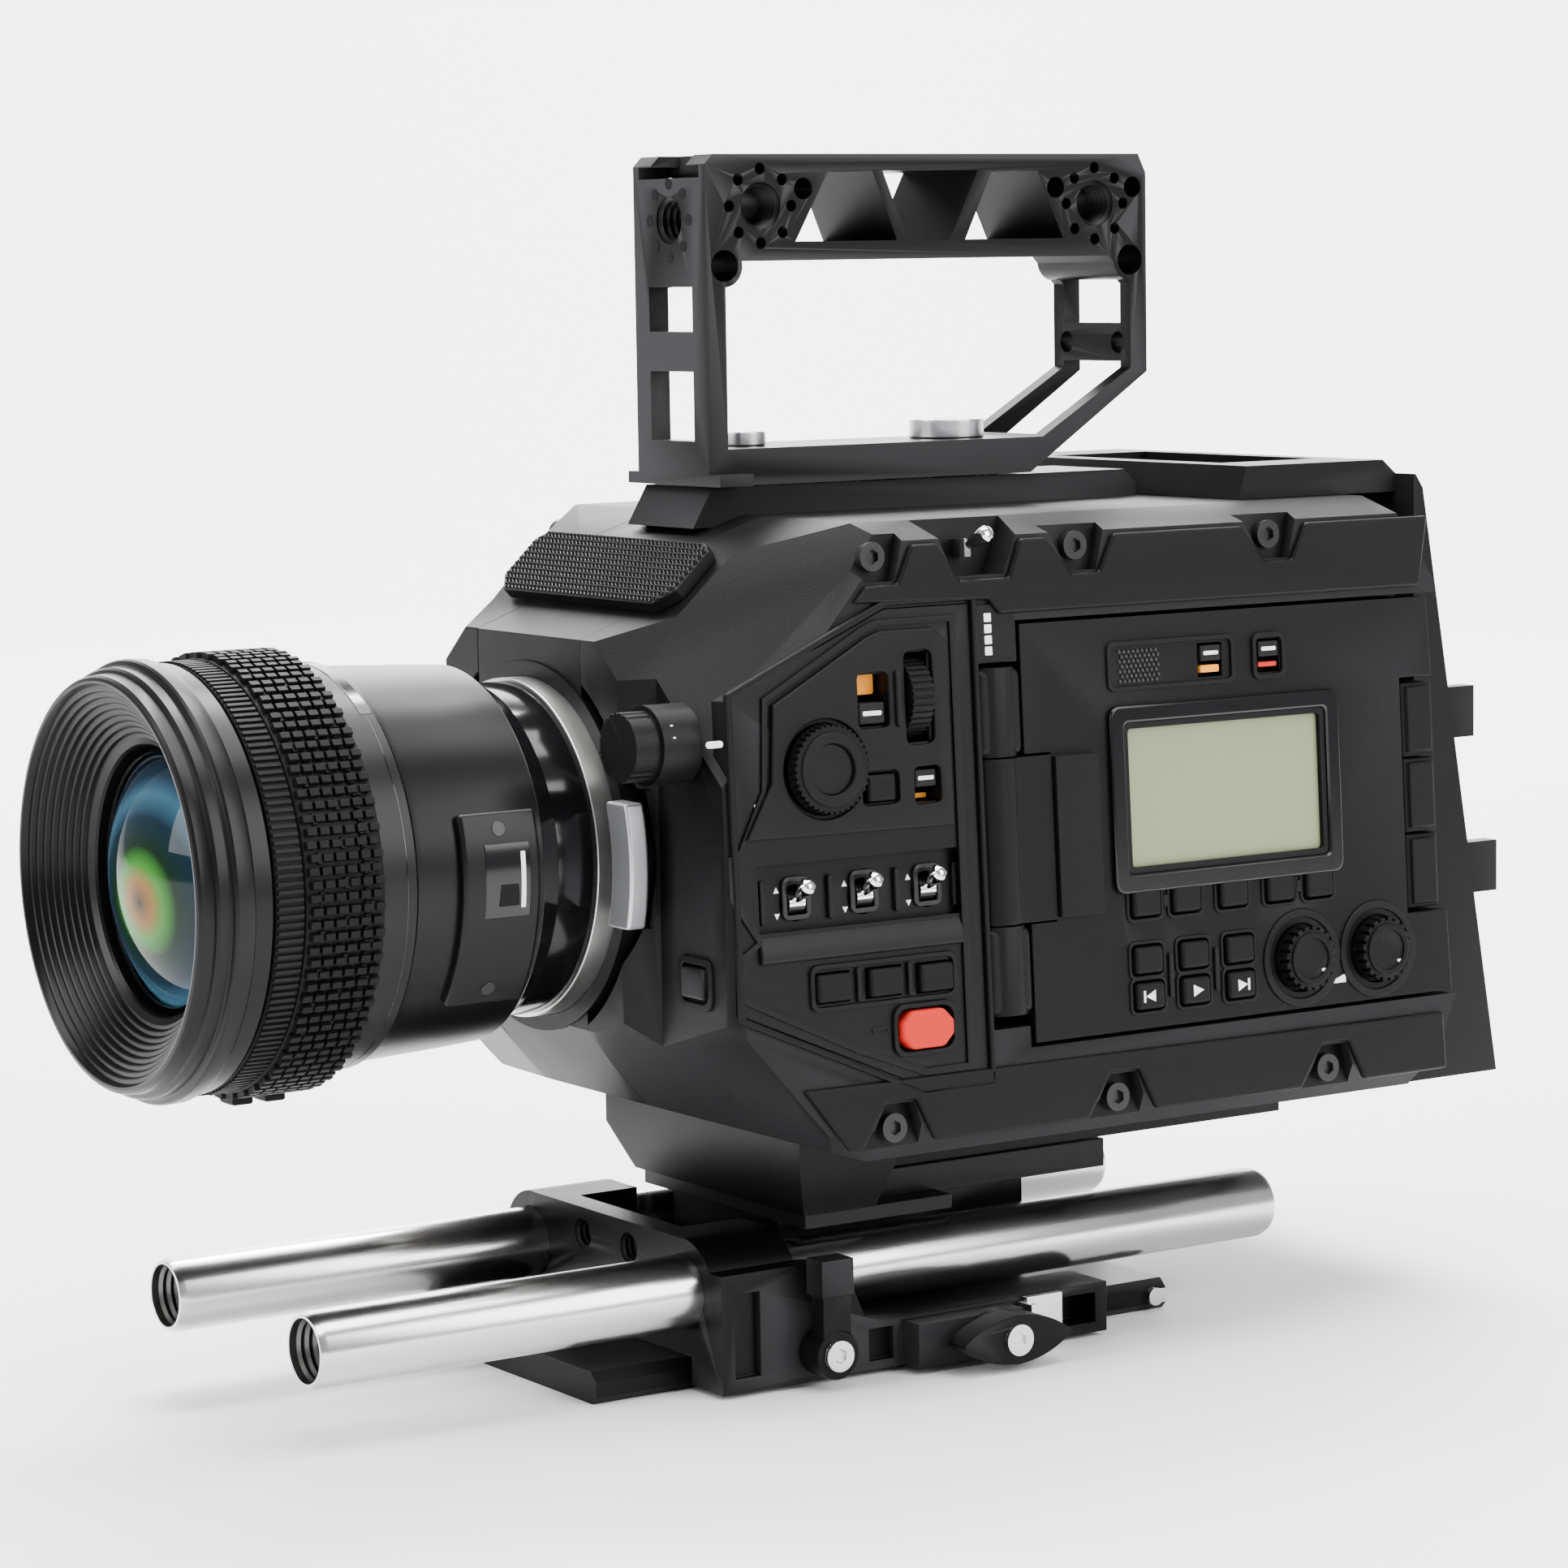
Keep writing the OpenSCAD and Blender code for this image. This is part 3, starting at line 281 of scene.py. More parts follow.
def tube_rings(name, centre, axis, radius, length, pitch, depth, material, body, steps=40):
    """The crests of a thread inside a hole, as closely stacked rings."""
    turn = Vector(axis).to_track_quat("Z", "Y").to_matrix()
    points, faces = [], []
    for k in range(int(length / pitch)):
        for i in range(steps):
            angle = 2 * math.pi * i / steps
            for r, h in ((radius, 0.05), (radius - depth, 0.45), (radius, 0.85)):
                spot = turn @ Vector((r * math.cos(angle), r * math.sin(angle), (k + h) * pitch))
                points.append((Vector(centre) + spot) * MM)
            a, b = (k * steps + i) * 3, (k * steps + (i + 1) % steps) * 3
            faces += [(a, a + 1, b + 1, b), (a + 1, a + 2, b + 2, b + 1)]
    mesh = bpy.data.meshes.new(name)
    mesh.from_pydata(points, [], faces)
    mesh.materials.append(material)
    return put(name, mesh, body)


rounded("base_bracket", 0.6, anodised, segments=3)
for side_name, x in (("left", -9), ("right", 9)):
    tube_rings("base_thread_" + side_name, (x, 17.2, 24.9), (0, 1, 0), 3.17, 6, 1.27, 0.6, anodised, "camera")


# ---------------------------------------------------------------------------------------------
# The two support rods.
# Drawn stainless tube, brushed along its length, with chamfered ends and a threaded bore at the front.

brushed_steel = coated("brushed_steel", (0.6, 0.59, 0.57), 0.22, grain=2600, metal=1.0, worn_and_lit_tone=(0.7, 0.7, 0.69),
                       bump=0.000012, gloss=0.5, stretch=0.02, patch=0.08)
# The bores and their thread crests get a much darker steel than the rods: painted shade inside the bores.
painted_shade_bore_steel = coated("painted_shade_bore_steel", (0.12, 0.115, 0.11), 0.4, grain=2600, metal=1.0, bump=0.00002, gloss=0.4)
rounded("rods", 0.12, brushed_steel, painted_shade_bore_steel,
        lambda x, y, z: -66.9 < y < 161.5 and math.hypot(abs(x) - 30, z - 19.7) < 6.6)
for side_name, x in (("far", -30), ("near", 30)):
    tube_rings("rod_thread_" + side_name, (x, -66.5, 19.7), (0, 1, 0), 6.28, 14, 1.75, 0.5, painted_shade_bore_steel, "rod_pair",
               steps=64)


# ---------------------------------------------------------------------------------------------
# The clamp lever, the wing knob and the spring catch on the side of the base.
# Black die-cast levers on steel torx screws, and a bent spring-steel catch.

cast_black = coated("cast_black", (0.0028, 0.0028, 0.003), 0.4, grain=2600, bump=0.00004)
rounded("rod_clamp_lever", 1.1, cast_black, bright_steel, lambda x, y, z: x > 51.45 and math.hypot(y - 39.6, z - 7.4) < 3.3,
        segments=3)
rounded("wing_knob", 1.0, cast_black, bright_steel, lambda x, y, z: x > 59.42 and math.hypot(y - 78, z - 6.7) < 3.3,
        segments=3)
rounded("plate_catch", 0.3, bright_steel)


# ---------------------------------------------------------------------------------------------
# The shoe that the camera's floor sits on.
# A stepped aluminium block bolted to the base plate, black anodised.

rounded("camera_shoe", 0.5, anodised)


# ---------------------------------------------------------------------------------------------
# The body casting between the two side covers.
# Magnesium, painted satin black, with a collar round the lens throat and a foot under the floor.

body_paint = coated("body_paint", (0.0028, 0.0028, 0.0032), 0.42, grain=3400, bump=0.00005,
                    worn_and_lit_tone=(0.03, 0.03, 0.032))
rounded("chassis", 0.9, body_paint, segments=3)
for node in ("nd_wheel", "sensor_block"):
    rounded(node, 0.2, coated("dark_green", (0.012, 0.02, 0.014), 0.35, grain=2500) if node == "sensor_block"
            else body_paint)
rounded("nd_belt", 0.0, cast_black)


# ---------------------------------------------------------------------------------------------
# The two side covers.
# Moulded covers with a raised band along the top and the bottom; each band is cut out round its screws.

def side(y, v, out):
    """A point on the operator's side: along the side, up it from axis height, and outwards from it."""
    lean = math.radians(3.2)
    return Vector((64 + out * math.cos(lean) - v * math.sin(lean), y, AXIS + out * math.sin(lean) + v * math.cos(lean)))


def far_side(y, v, out):
    spot = side(y, v, out)
    return Vector((-spot.x, spot.y, spot.z))


def plates(name, shapes, place, material, body, width=0.3, segments=2, cuts=(), smooth=True):
    """Flat plates joined in one piece. A shape is (outline, low, high) or (outline, low, high, inner outline)."""
    def fill(work, shape):
        outline, low, high = shape[:3]
        inner = shape[3] if len(shape) > 3 else None
        count = len(outline)
        rows = [[work.verts.new(place(a, b, h) * MM) for a, b in loop]
                for loop in ([outline, inner] if inner else [outline]) for h in (low, high)]
        for i in range(count):
            j = (i + 1) % count
            work.faces.new((rows[0][i], rows[0][j], rows[1][j], rows[1][i]))
            if inner:
                work.faces.new((rows[1][i], rows[1][j], rows[3][j], rows[3][i]))
                work.faces.new((rows[3][i], rows[3][j], rows[2][j], rows[2][i]))
                work.faces.new((rows[2][i], rows[2][j], rows[0][j], rows[0][i]))
        if not inner:
            work.faces.new(rows[0][::-1])
            work.faces.new(rows[1])

    def made(label, listed):
        work = bmesh.new()
        for shape in listed:
            fill(work, shape)
        bmesh.ops.recalc_face_normals(work, faces=work.faces)
        mesh = bpy.data.meshes.new(label)
        work.to_mesh(mesh)
        work.free()
        return mesh

    mesh = made(name, shapes)
    if cuts:
        blank = bpy.data.objects.new(name + "_blank", mesh)
        tool = bpy.data.objects.new(name + "_tool", made(name + "_tool", cuts))
        for made_object in (blank, tool):
            bpy.context.scene.collection.objects.link(made_object)
        cutter = blank.modifiers.new("cut", "BOOLEAN")
        cutter.object = tool
        cutter.solver = "EXACT"
        cutter.use_self = True
        bpy.context.view_layer.update()
        mesh = bpy.data.meshes.new_from_object(blank.evaluated_get(bpy.context.evaluated_depsgraph_get()))
        bpy.data.objects.remove(blank)
        bpy.data.objects.remove(tool)
        mesh.name = name
    mesh.materials.clear()
    mesh.materials.append(material)
    if smooth:
        mesh.shade_smooth()
    return put(name, mesh, body, width, segments)


def tablet(y, v, wide, high, radius=0.8, steps=4):
    """The outline of a rectangle with rounded corners."""
    line = []
    for sy, sv, start in ((1, 1, 0), (-1, 1, 90), (-1, -1, 180), (1, -1, 270)):
        for i in range(steps + 1):
            angle = math.radians(start + 90 * i / steps)
            line.append((y + sy * (wide / 2 - radius) + radius * math.cos(angle),
                         v + sv * (high / 2 - radius) + radius * math.sin(angle)))
    return line


def disc(y, v, radius, steps=48):
    return [(y + radius * math.cos(2 * math.pi * i / steps), v + radius * math.sin(2 * math.pi * i / steps))
            for i in range(steps)]


rounded("operator_shell", 0.8, body_paint, segments=3)
rounded("off_shell", 0.8, body_paint, segments=3)


def top_band(power):
    line = [(38.6, 50), (70.5, 49.2), (72.9, 46.2), (181.5, 46.2), (184.5, 60.8)]
    notches = [(143.5, 9, 3), (93.9, 9, 3)] + ([(69.1, 10.5, 5.5)] if power else [])
    for y, wide, narrow in notches:
        line += [(y + wide - 1, 60.8), (y + narrow + 1, 53.3), (y - narrow, 53.3), (y - wide, 60.8)]
    return line + [(52.6, 60.8), (48.8, 53.3), (41.6, 53.3)]


def low_band():
    line = [(22, -43), (80.5, -43.4), (184, -43.9), (184.5, -56)]
    for y in (153.9, 98.9, 44.1):
        line += [(y + 8, -56), (y + 4, -47.4), (y - 3, -47.4), (y - 9, -56)]
    return line + [(32, -56)]


for label, place, power in (("near", side, True), ("far", far_side, False)):
    plates("bands_" + label, [(top_band(power), -0.6, 1.3), (low_band(), -0.6, 1.1)], place, body_paint, "camera",
           0.7, 3)
# Far side: a large cover plate with a shallow frame, and a smaller vented plate at its front
plates("far_plate", [([(78, -38), (78, 41), (181, 41), (184, -38)], -0.4, 0.8),
                     ([(14, -30), (14, 28), (34, 41), (72, 41), (72, -38), (30, -38)], -0.4, 0.8)],
       far_side, body_paint, "camera", 0.7, 3)
plates("far_vents", [(tablet(46, 26 - 5 * k, 34, 2.2, 1.0), 0.7, 1.1) for k in range(9)], far_side, cast_black,
       "camera", 0.2)


# ---------------------------------------------------------------------------------------------
# The grille over the microphones, on the slope above the lens.
# Black steel wire woven in two directions, held in the gap between the covers.

black_steel = coated("black_steel", (0.006, 0.006, 0.0065), 0.3, grain=4000, bump=0.00001, gloss=0.3)
rounded("vent_mesh", 0.5, cast_black)


def woven_wires():
    slope = math.radians(43)
    foot = Vector((0, 14.9, 155.3))
    along, out = Vector((0, math.cos(slope), math.sin(slope))), Vector((0, -math.sin(slope), math.cos(slope)))
    points, faces = [], []

    def half_width(u):
        return 28.6 + 1.1 * min(u, 4) if u < 4 else min(33, 33 - max(0, u - 14.4) * 1.6)

    for lean in (1, -1):
        for k in range(-34, 35):
            row = []
            for step in range(45):
                u = 0.4 + step * 0.36
                x = k * 1.45 + lean * (u - 8)
                if abs(x) < half_width(u) - 0.2 and u < 16.3:
                    lift = 2.75 + 0.22 * lean * math.cos(math.pi * (u / 0.725))
                    row.append((x, u, lift))
                elif row:
                    break
            if len(row) < 3:
                continue
            start = len(points)
            for x, u, lift in row:
                for dx, dh in ((0.3, 0), (0, 0.3), (-0.3, 0), (0, -0.3)):
                    points.append((foot + Vector((x + dx, 0, 0)) + along * u + out * (lift + dh)) * MM)
            for i in range(len(row) - 1):
                for c in range(4):
                    a, b = start + 4 * i + c, start + 4 * i + (c + 1) % 4
                    faces.append((a, b, b + 4, a + 4))
    mesh = bpy.data.meshes.new("woven_wires")
    mesh.from_pydata(points, [], faces)
    mesh.shade_smooth()
    mesh.materials.append(black_steel)
    put("woven_wires", mesh, "camera")


woven_wires()


# ---------------------------------------------------------------------------------------------
# The rear housing, the top rail and the cover screws.
# The rear is a cast housing with hooks for a battery; the rail is milled; the screws are black torx screws.

rounded("rear_housing", 1.1, body_paint, segments=3)


def rear(x, down, out):
    """A point on the leaning rear face: across it, down it from its top edge, and outwards from it."""
    return Vector((x, 191.8 + 0.1625 * down + 0.987 * out, 173.7 - 0.987 * down + 0.1625 * out))


plates("battery_frame", [([(-31, 24), (31, 24), (25, 112), (-25, 112)], -0.4, 1.6,
                          [(-27.5, 28.5), (27.5, 28.5), (21.6, 108), (-21.6, 108)]),
                         (tablet(0, 16, 62, 7, 2), -0.4, 0.7), (tablet(-38, 88, 9, 44, 2), -0.4, 0.7),
                         (tablet(38, 88, 9, 44, 2), -0.4, 0.7)], rear, cast_black, "camera", 0.5, 3)
plates("battery_contacts", [(tablet(-9 + 4.5 * i, 100, 2.2, 8, 0.5), -11.5, -8.5) for i in range(5)], rear,
       bright_steel, "camera", 0.2)
plates("rear_screws", [(disc(x, d, 2.4, 32), -0.2, 0.5, disc(x, d, 1.1, 32))
                       for x in (-40, 40) for d in (12, 62, 118)], rear, black_steel, "camera", 0.2)
rounded("top_rail", 0.8, anodised, segments=3)
rounded("shell_screws", 0.2, black_steel)


# ---------------------------------------------------------------------------------------------
# The lens mount and its release lever.
# A ground stainless ring screwed to the casting, and a die-cast lever with a satin metal face.

ground_steel = coated("ground_steel", (0.66, 0.65, 0.62), 0.3, grain=3600, metal=1.0, worn_and_lit_tone=(0.8, 0.8, 0.78),
                      bump=0.00001, gloss=0.5)
satin_metal = coated("satin_metal", (0.42, 0.425, 0.44), 0.38, grain=4200, metal=0.85, worn_and_lit_tone=(0.7, 0.7, 0.72),
                     bump=0.00002, gloss=0.5)
rounded("mount_ring", 0.25, ground_steel)
rounded("lens_release", 0.7, satin_metal, segments=3)


# ---------------------------------------------------------------------------------------------
# The filter knob and the automatic white balance button on the front.
# Moulded knob with fine ribs in groups and a white figure; the button sits in a rounded frame.

moulded = coated("moulded", (0.0024, 0.0024, 0.0026), 0.4, grain=3000, bump=0.00005, gloss=0.12)
white_mark = coated("white_mark", (0.78, 0.78, 0.78), 0.5, grain=4000, wear_and_highlight=0.0, bump=0.00001)
rounded("nd_knob", 0.3, moulded)


def front(x, z, out):
    return Vector((x, -out, z))


def knob_face(turn, along, out):
    """A point on the knob's round side, at an angle and along its axis."""
    angle = math.radians(turn)
    return Vector((51 + out * math.cos(angle), along, AXIS + 24.4 + out * math.sin(angle)))


plates("nd_figure", [([(14, -0.9), (34, -0.9), (34, -0.3), (14, -0.3)], 7.78, 7.84)],
       knob_face, white_mark, "nd_knob", 0, smooth=False)
rounded("auto_wb_button", 0.6, moulded, segments=3)
plates("auto_wb_frame", [(tablet(53, AXIS - 22, 12.4, 10.4, 2.4), -7.4, -6.2, tablet(53, AXIS - 22, 9.4, 7.4, 1.6))],
       front, body_paint, "camera", 0.35)
plates("nd_index", [(tablet(5.6, 25, 3.6, 1.3, 0.6), -0.2, 0.6)], side, white_mark, "camera", 0.2)


# ---------------------------------------------------------------------------------------------
# The control panel: a dial and switches above, three toggles on a shelf, and function keys below.
# Layered mouldings with a deep groove round them; switches show orange when slid away.

orange = coated("orange", (0.85, 0.3, 0.02), 0.45, grain=3000, wear_and_highlight=0.0, bump=0.00001)
red_plastic = coated("red_plastic", (0.5, 0.018, 0.012), 0.35, grain=2600, worn_and_lit_tone=(0.75, 0.1, 0.08), bump=0.00002)
chrome = coated("chrome", (0.75, 0.75, 0.77), 0.1, grain=3000, bump=0.000004, metal=1.0, worn_and_lit_tone=(0.9, 0.9, 0.9),
                gloss=0.5)
rubber = coated("rubber", (0.0026, 0.0026, 0.0028), 0.5, grain=2200, bump=0.00006, wear_and_highlight=0.1)
rounded("control_panel", 0.4, moulded)
upper = [(11.4, 6.2), (17.6, 16.8), (18.6, 31.6), (41, 43.4), (44, 44.4), (56.6, 44.4), (59.8, 41.4), (59.8, 5.6)]
plates("panel_upper", [(upper, -0.2, 1.2)], side, moulded, "camera", 0.5, 3, cuts=[
    (disc(30.2, 18.6, 9.7), -3, 3), (tablet(41.9, 31.1, 7.2, 10.8, 1.2), -3, 3),
    (tablet(52.7, 31.1, 6.6, 18.4, 1.6), -3, 3), (tablet(53.9, 13.9, 6.2, 7.4, 1.2), -3, 3),
    (tablet(42.8, 14.1, 8.6, 6.6, 1.2), -3, 3)])
plates("panel_border", [([(7.4, 3.4), (9.2, 3.4), (15.6, 15.4), (16.6, 33), (40.4, 45.6), (43.6, 46.6), (62.6, 46.6),
                          (62.6, -43), (50.6, -43), (35, -37), (8.8, -24.6), (8.8, -16), (13, -13.4), (7.4, -5)],
                         -0.3, 0.55,
                         [(10, 3.6), (10.4, 3.8), (16.6, 15), (17.8, 32.4), (41, 44.4), (44, 45.4), (61, 45.4),
                          (61, -41.6), (51, -41.6), (35.4, -35.8), (10.2, -24), (10.2, -17), (14.4, -13.6),
                          (10, -5)])],
       side, moulded, "camera", 0.2)
plates("panel_rim", [([(9.4, -27.6), (9.4, 33.6), (46.2, 49.3), (66.2, 49.3), (66.2, -45.6), (50, -45.6)][::-1],
                      -0.4, 1.1,
                      [(8.2, -28.6), (8.2, 34.4), (45.8, 50.7), (67.4, 50.7), (67.4, -46.8), (49.8, -46.8)][::-1])],
       side, body_paint, "camera", 0.4)
plates("shelf_nose", [([(-12.2, -1.9), (-12.2, -0.3), (-15.2, 1.1), (-17.6, 1.1), (-18.2, 0)], 13.6, 61)],
       lambda v, out, y: side(y, v, out), moulded, "camera", 0.4)
plates("shelf_steps", [(tablet(y, -6.2, 1.2, 8.6, 0.5), -2, -0.9) for y in (15.6, 31.4, 47, 60.8)], side, moulded,
       "camera", 0.3)
plates("panel_lower", [(tablet(42, -23.7, 34.6, 9.2, 1.8), -0.2, 0.7, tablet(42, -23.7, 32.4, 7.2, 1.2)),
                       (tablet(35.9, -23.7, 1, 6.6, 0.4), -0.2, 0.9), (tablet(47.9, -23.7, 1, 6.6, 0.4), -0.2, 0.9),
                       (tablet(51.2, -33.8, 15.2, 10.4, 2.6), -0.2, 0.8, tablet(51.2, -33.8, 13.2, 8.4, 2.2))],
       side, moulded, "camera", 0.25)
plates("panel_orange", [(tablet(41.9, 34.2, 5.8, 4.2, 0.6), -3.4, -3.06), (tablet(53.9, 11.6, 4.6, 1, 0.3), -3.4, -3.06)],
       side, orange, "camera", 0.1)
plates("panel_marks", [(tablet(y, v, 0.8, 1.1, 0.3), -0.1, 0.08) for y, v in ((14.4, 12.4),)] +
       [([(y - 4.9, v), (y - 3.7, v), (y - 4.3, v + 1.1)], -2.2, -1.86) for y in (23.6, 39.4, 54.4) for v in (-4.6,)] +
       [([(y - 4.9, v), (y - 3.7, v), (y - 4.3, v - 1.1)], -2.2, -1.86) for y in (23.6, 39.4, 54.4) for v in (-8.6,)] +
       [(tablet(70.4, 45.6 - 2.2 * k, 1.7, 1.7, 0.2), -0.1, 0.32) for k in range(4)], side, white_mark, "camera",
       0, smooth=False)
plates("list_plate", [([(67.6, 36.6), (67.6, 48.2), (75.6, 48.2), (77.2, 46.2), (77.2, 36.6)], -0.2, 0.25)], side,
       body_paint, "camera", 0.3)
plates("wheel_rib", [(tablet(47.6, 31.1, 1.5, 11, 0.7), 0.9, 2.0)], side, moulded, "camera", 0.4)
plates("status_lamp", [(tablet(40.8, -33.2, 4, 1.5, 0.6), -0.1, 0.2, tablet(40.8, -33.2, 3, 0.8, 0.35))], side,
       moulded, "camera", 0.08)
rounded("menu_dial", 0.25, rubber)
plates("dial_cap", [(disc(30.2, 18.6, 4.9), 2.55, 2.9), (disc(30.2, 18.6, 7.2), 3.3, 3.75, disc(30.2, 18.6, 5.1))],
       side, moulded, "menu_dial", 0.25, 3)
rounded("thumb_wheel", 0.12, rubber)
for node in ("source_switch", "panel_lock"):
    rounded(node, 0.35, moulded)
plates("source_bar", [(tablet(41.9, 28.6, 4.4, 0.9, 0.3), 0.3, 0.5)], side, white_mark, "source_switch",
       0.1)
plates("lock_bar", [(tablet(53.9, 15.2, 3.8, 0.8, 0.3), 0.3, 0.5)], side, white_mark, "panel_lock", 0.1)
for node in ("back_button", "f1_button", "f2_button", "hfr_button"):
    rounded(node, 0.7, rubber, segments=3)
rounded("rec_button", 0.7, red_plastic, segments=3)
for node, deep in (("iso_toggle", -1.1), ("shutter_toggle", -1.1), ("white_toggle", -1.1), ("power_toggle", -3.4)):
    rounded(node, 0.35, chrome, black_steel, lambda x, y, z: (Vector((x, y, z)) - side(0, 0, 0)).dot(
        side(0, 0, 1) - side(0, 0, 0)) < deep, segments=3)
plates("toggle_collars", [(tablet(y, -5.88, 6.6, 8.4, 1.6, 8), -1.95, -1.2, tablet(y, -5.88, 4.4, 6.4, 0.3, 8))
                          for y in (23.6, 39.4, 54.4)],
       side, black_steel, "camera", 0.2)


# ---------------------------------------------------------------------------------------------
# The hinge that carries the door.
# Two posts cast with the cover, and an arm that turns between them on a steel pin.

rounded("hinge_arm", 1.3, body_paint, bright_steel, lambda x, y, z: y > 84.3 or z > 126.2 or z < 92, segments=3)
for v0, v1 in ((-33.2, -16), (18.2, 35.4)):
    plates("hinge_cap_%d" % (v0 > 0), [([(67.1, v0), (77.5, v0), (77.5, v1), (67.1, v1)], -6, 1.0)], side, body_paint,
           "camera", 1.5, 3)


# ---------------------------------------------------------------------------------------------
# The monitor door: a status display in a deep bezel, keys, slide switches and two level knobs.
# Moulded, satin black; a flat olive display behind gloss plastic; rubber keys in rounded trays.

gloss_black = coated("gloss_black", (0.003, 0.003, 0.0035), 0.12, grain=3000, bump=0.000004, wear_and_highlight=0.0, gloss=0.35,
                     patch=0.02)
display_glass = coated("display_glass", (0.19, 0.215, 0.12), 0.32, grain=3000, wear_and_highlight=0.0, bump=0.000004, gloss=0.3,
                       patch=0.03)
rounded("monitor_door", 0.9, body_paint, segments=3)
rounded("door_displays", 0.15, display_glass, gloss_black, lambda x, y, z: x < 60)
plates("bezel", [(tablet(128.6, 7.1, 59.4, 38, 2.2), -0.3, 1.3, tablet(128.6, 7.3, 52.4, 30.6, 1.2))], side,
       gloss_black, "door", 0.6, 3)
plates("bezel_step", [(tablet(128.6, 7.3, 52.4, 30.6, 1.2), -0.9, 0.6, tablet(128.6, 7.3, 49.8, 28, 0.8))], side,
       moulded, "door", 0.15)
trays = [(tablet(y, v, 9.4, 7.8, 1.6), -0.3, 0.45, tablet(y, v, 7.9, 6.3, 1.0))
         for y, v in [(106.5, -14), (116.8, -14), (129, -14), (141.4, -14), (151.6, -14)]
         + [(106.5 + 11.8 * i, v) for i in range(3) for v in (-25.6, -32.9)]]
plates("key_trays", trays, side, moulded, "door", 0.25)
plates("tray_links", [(tablet(111.7, -14, 1.4, 2.6, 0.5), -0.2, 0.6), (tablet(146.5, -14, 1.4, 2.6, 0.5), -0.2, 0.6)]
       + [(tablet(112.4 + 11.8 * i, -29.2, 1.2, 9, 0.5), -0.2, 0.7) for i in range(2)], side, moulded, "door",
       0.3)
plates("knob_wells", [(disc(y, -29, 10.2), -0.2, 0.5, disc(y, -29, 8.4)) for y in (146.8, 167.2)], side, moulded,
       "door", 0.3)
plates("level_wedge", [([(153.2, -35.2), (158.4, -33.4), (158.4, -35.2)], -0.1, 0.06)], side, white_mark, "door",
       0, smooth=False)
plates("switch_frames", [(tablet(115.6, 34, 32.6, 10, 1.6), -0.2, 0.6, tablet(115.6, 34, 30.8, 8.2, 1.1)),
                         (tablet(140.9, 34, 8.6, 9.6, 1.8), -0.2, 0.7, tablet(140.9, 34, 6.6, 7.6, 1.2))], side,
       moulded, "door", 0.2)
plates("speaker_mesh", [(tablet(102.6 + 1.15 * i + 0.57 * (k % 2), 30.9 + 1.0 * k, 0.7, 0.7, 0.33, 2), -0.1, 0.35)
                        for i in range(9) for k in range(7)], side, black_steel, "door", 0)
plates("door_orange", [(tablet(125.8, 32.2, 4.8, 1.5, 0.3), -1.2, -0.1)], side, orange, "door", 0.1)
plates("door_red", [(tablet(140.9, 32.2, 4.8, 1.0, 0.3), -1.2, -0.1)], side, red_plastic, "door", 0.1)
for node in ("channel_switch", "door_lock_switch"):
    rounded(node, 0.3, moulded)
for node, y in (("channel_switch", 125.8), ("door_lock_switch", 140.9)):
    plates(node + "_bar", [(tablet(y, 35.4, 3.8, 0.8, 0.3), 0.3, 0.5)], side, white_mark, node, 0.1)
for node in nodes:
    if node.endswith("_key"):
        rounded(node, 0.8, rubber, segments=3)
icon = 1.42
plates("previous_icon", [([(105, -32.9), (107.4, -31.7), (107.4, -34.1)], icon - 0.05, icon + 0.03),
                         ([(104.4, -31.7), (104.9, -31.7), (104.9, -34.1), (104.4, -34.1)], icon - 0.05, icon + 0.03)],
       side, white_mark, "previous_key", 0, smooth=False)
plates("play_icon", [([(117.2, -31.7), (119.8, -32.9), (117.2, -34.1)], icon - 0.05, icon + 0.03)], side, white_mark,
       "play_key", 0, smooth=False)
plates("next_icon", [([(128.8, -31.7), (131.2, -32.9), (128.8, -34.1)], icon - 0.05, icon + 0.03),
                     ([(131.3, -31.7), (131.8, -31.7), (131.8, -34.1), (131.3, -34.1)], icon - 0.05, icon + 0.03)],
       side, white_mark, "next_key", 0, smooth=False)
for node, y in (("level_knob_a", 146.8), ("level_knob_b", 167.2)):
    rounded(node, 0.2, rubber)
    plates(node + "_cap", [(disc(y, -29, 5.4), 3.2, 3.9, disc(y, -29, 4.2))], side, rubber, node,
           0.25, 3)
    plates(node + "_line", [(tablet(y + 3.4, -31.6, 1.8, 0.6, 0.2), 3.3, 3.46)], side, white_mark, node,
           0)
rounded("port_covers", 0.8, rubber, segments=3)


# ---------------------------------------------------------------------------------------------
# The lens: a barrel with a hood ring, a stepped inner cone, a coated front element and a gloss rear.
# Satin black barrel; the elements are coated glass, and the coating's reflections, green in the middle and blue at the
# rim, are painted into the glass colour in rings.

def turned(name, profile, finish, materials, body, steps=160, stands_for=(), smooth=24):
    """A part turned round the lens axis from a closed profile of (radius, place along the axis)."""
    points, faces, tones = [], [], []
    count = len(profile)
    for i in range(steps):
        angle = 2 * math.pi * i / steps
        for r, y in profile:
            points.append(Vector((r * math.cos(angle), y, AXIS + r * math.sin(angle))) * MM)
    for i in range(steps):
        j = (i + 1) % steps
        for k in range(count):
            n = (k + 1) % count
            faces.append((i * count + k, j * count + k, j * count + n, i * count + n))
            tones.append(finish(*profile[k], *profile[n]))
    mesh = bpy.data.meshes.new(name)
    mesh.from_pydata(points, [], faces)
    for face, tone in zip(mesh.polygons, tones):
        face.material_index = tone
    for material in materials:
        mesh.materials.append(material)
    work = bmesh.new()
    work.from_mesh(mesh)
    bmesh.ops.recalc_face_normals(work, faces=work.faces)
    for edge in work.edges:
        edge.smooth = len(edge.link_faces) == 2 and edge.calc_face_angle() < math.radians(smooth)
    work.to_mesh(mesh)
    work.free()
    mesh.shade_smooth()
    for face in mesh.polygons:
        face.use_smooth = True
    return put(name, mesh, body, stands_for=stands_for)


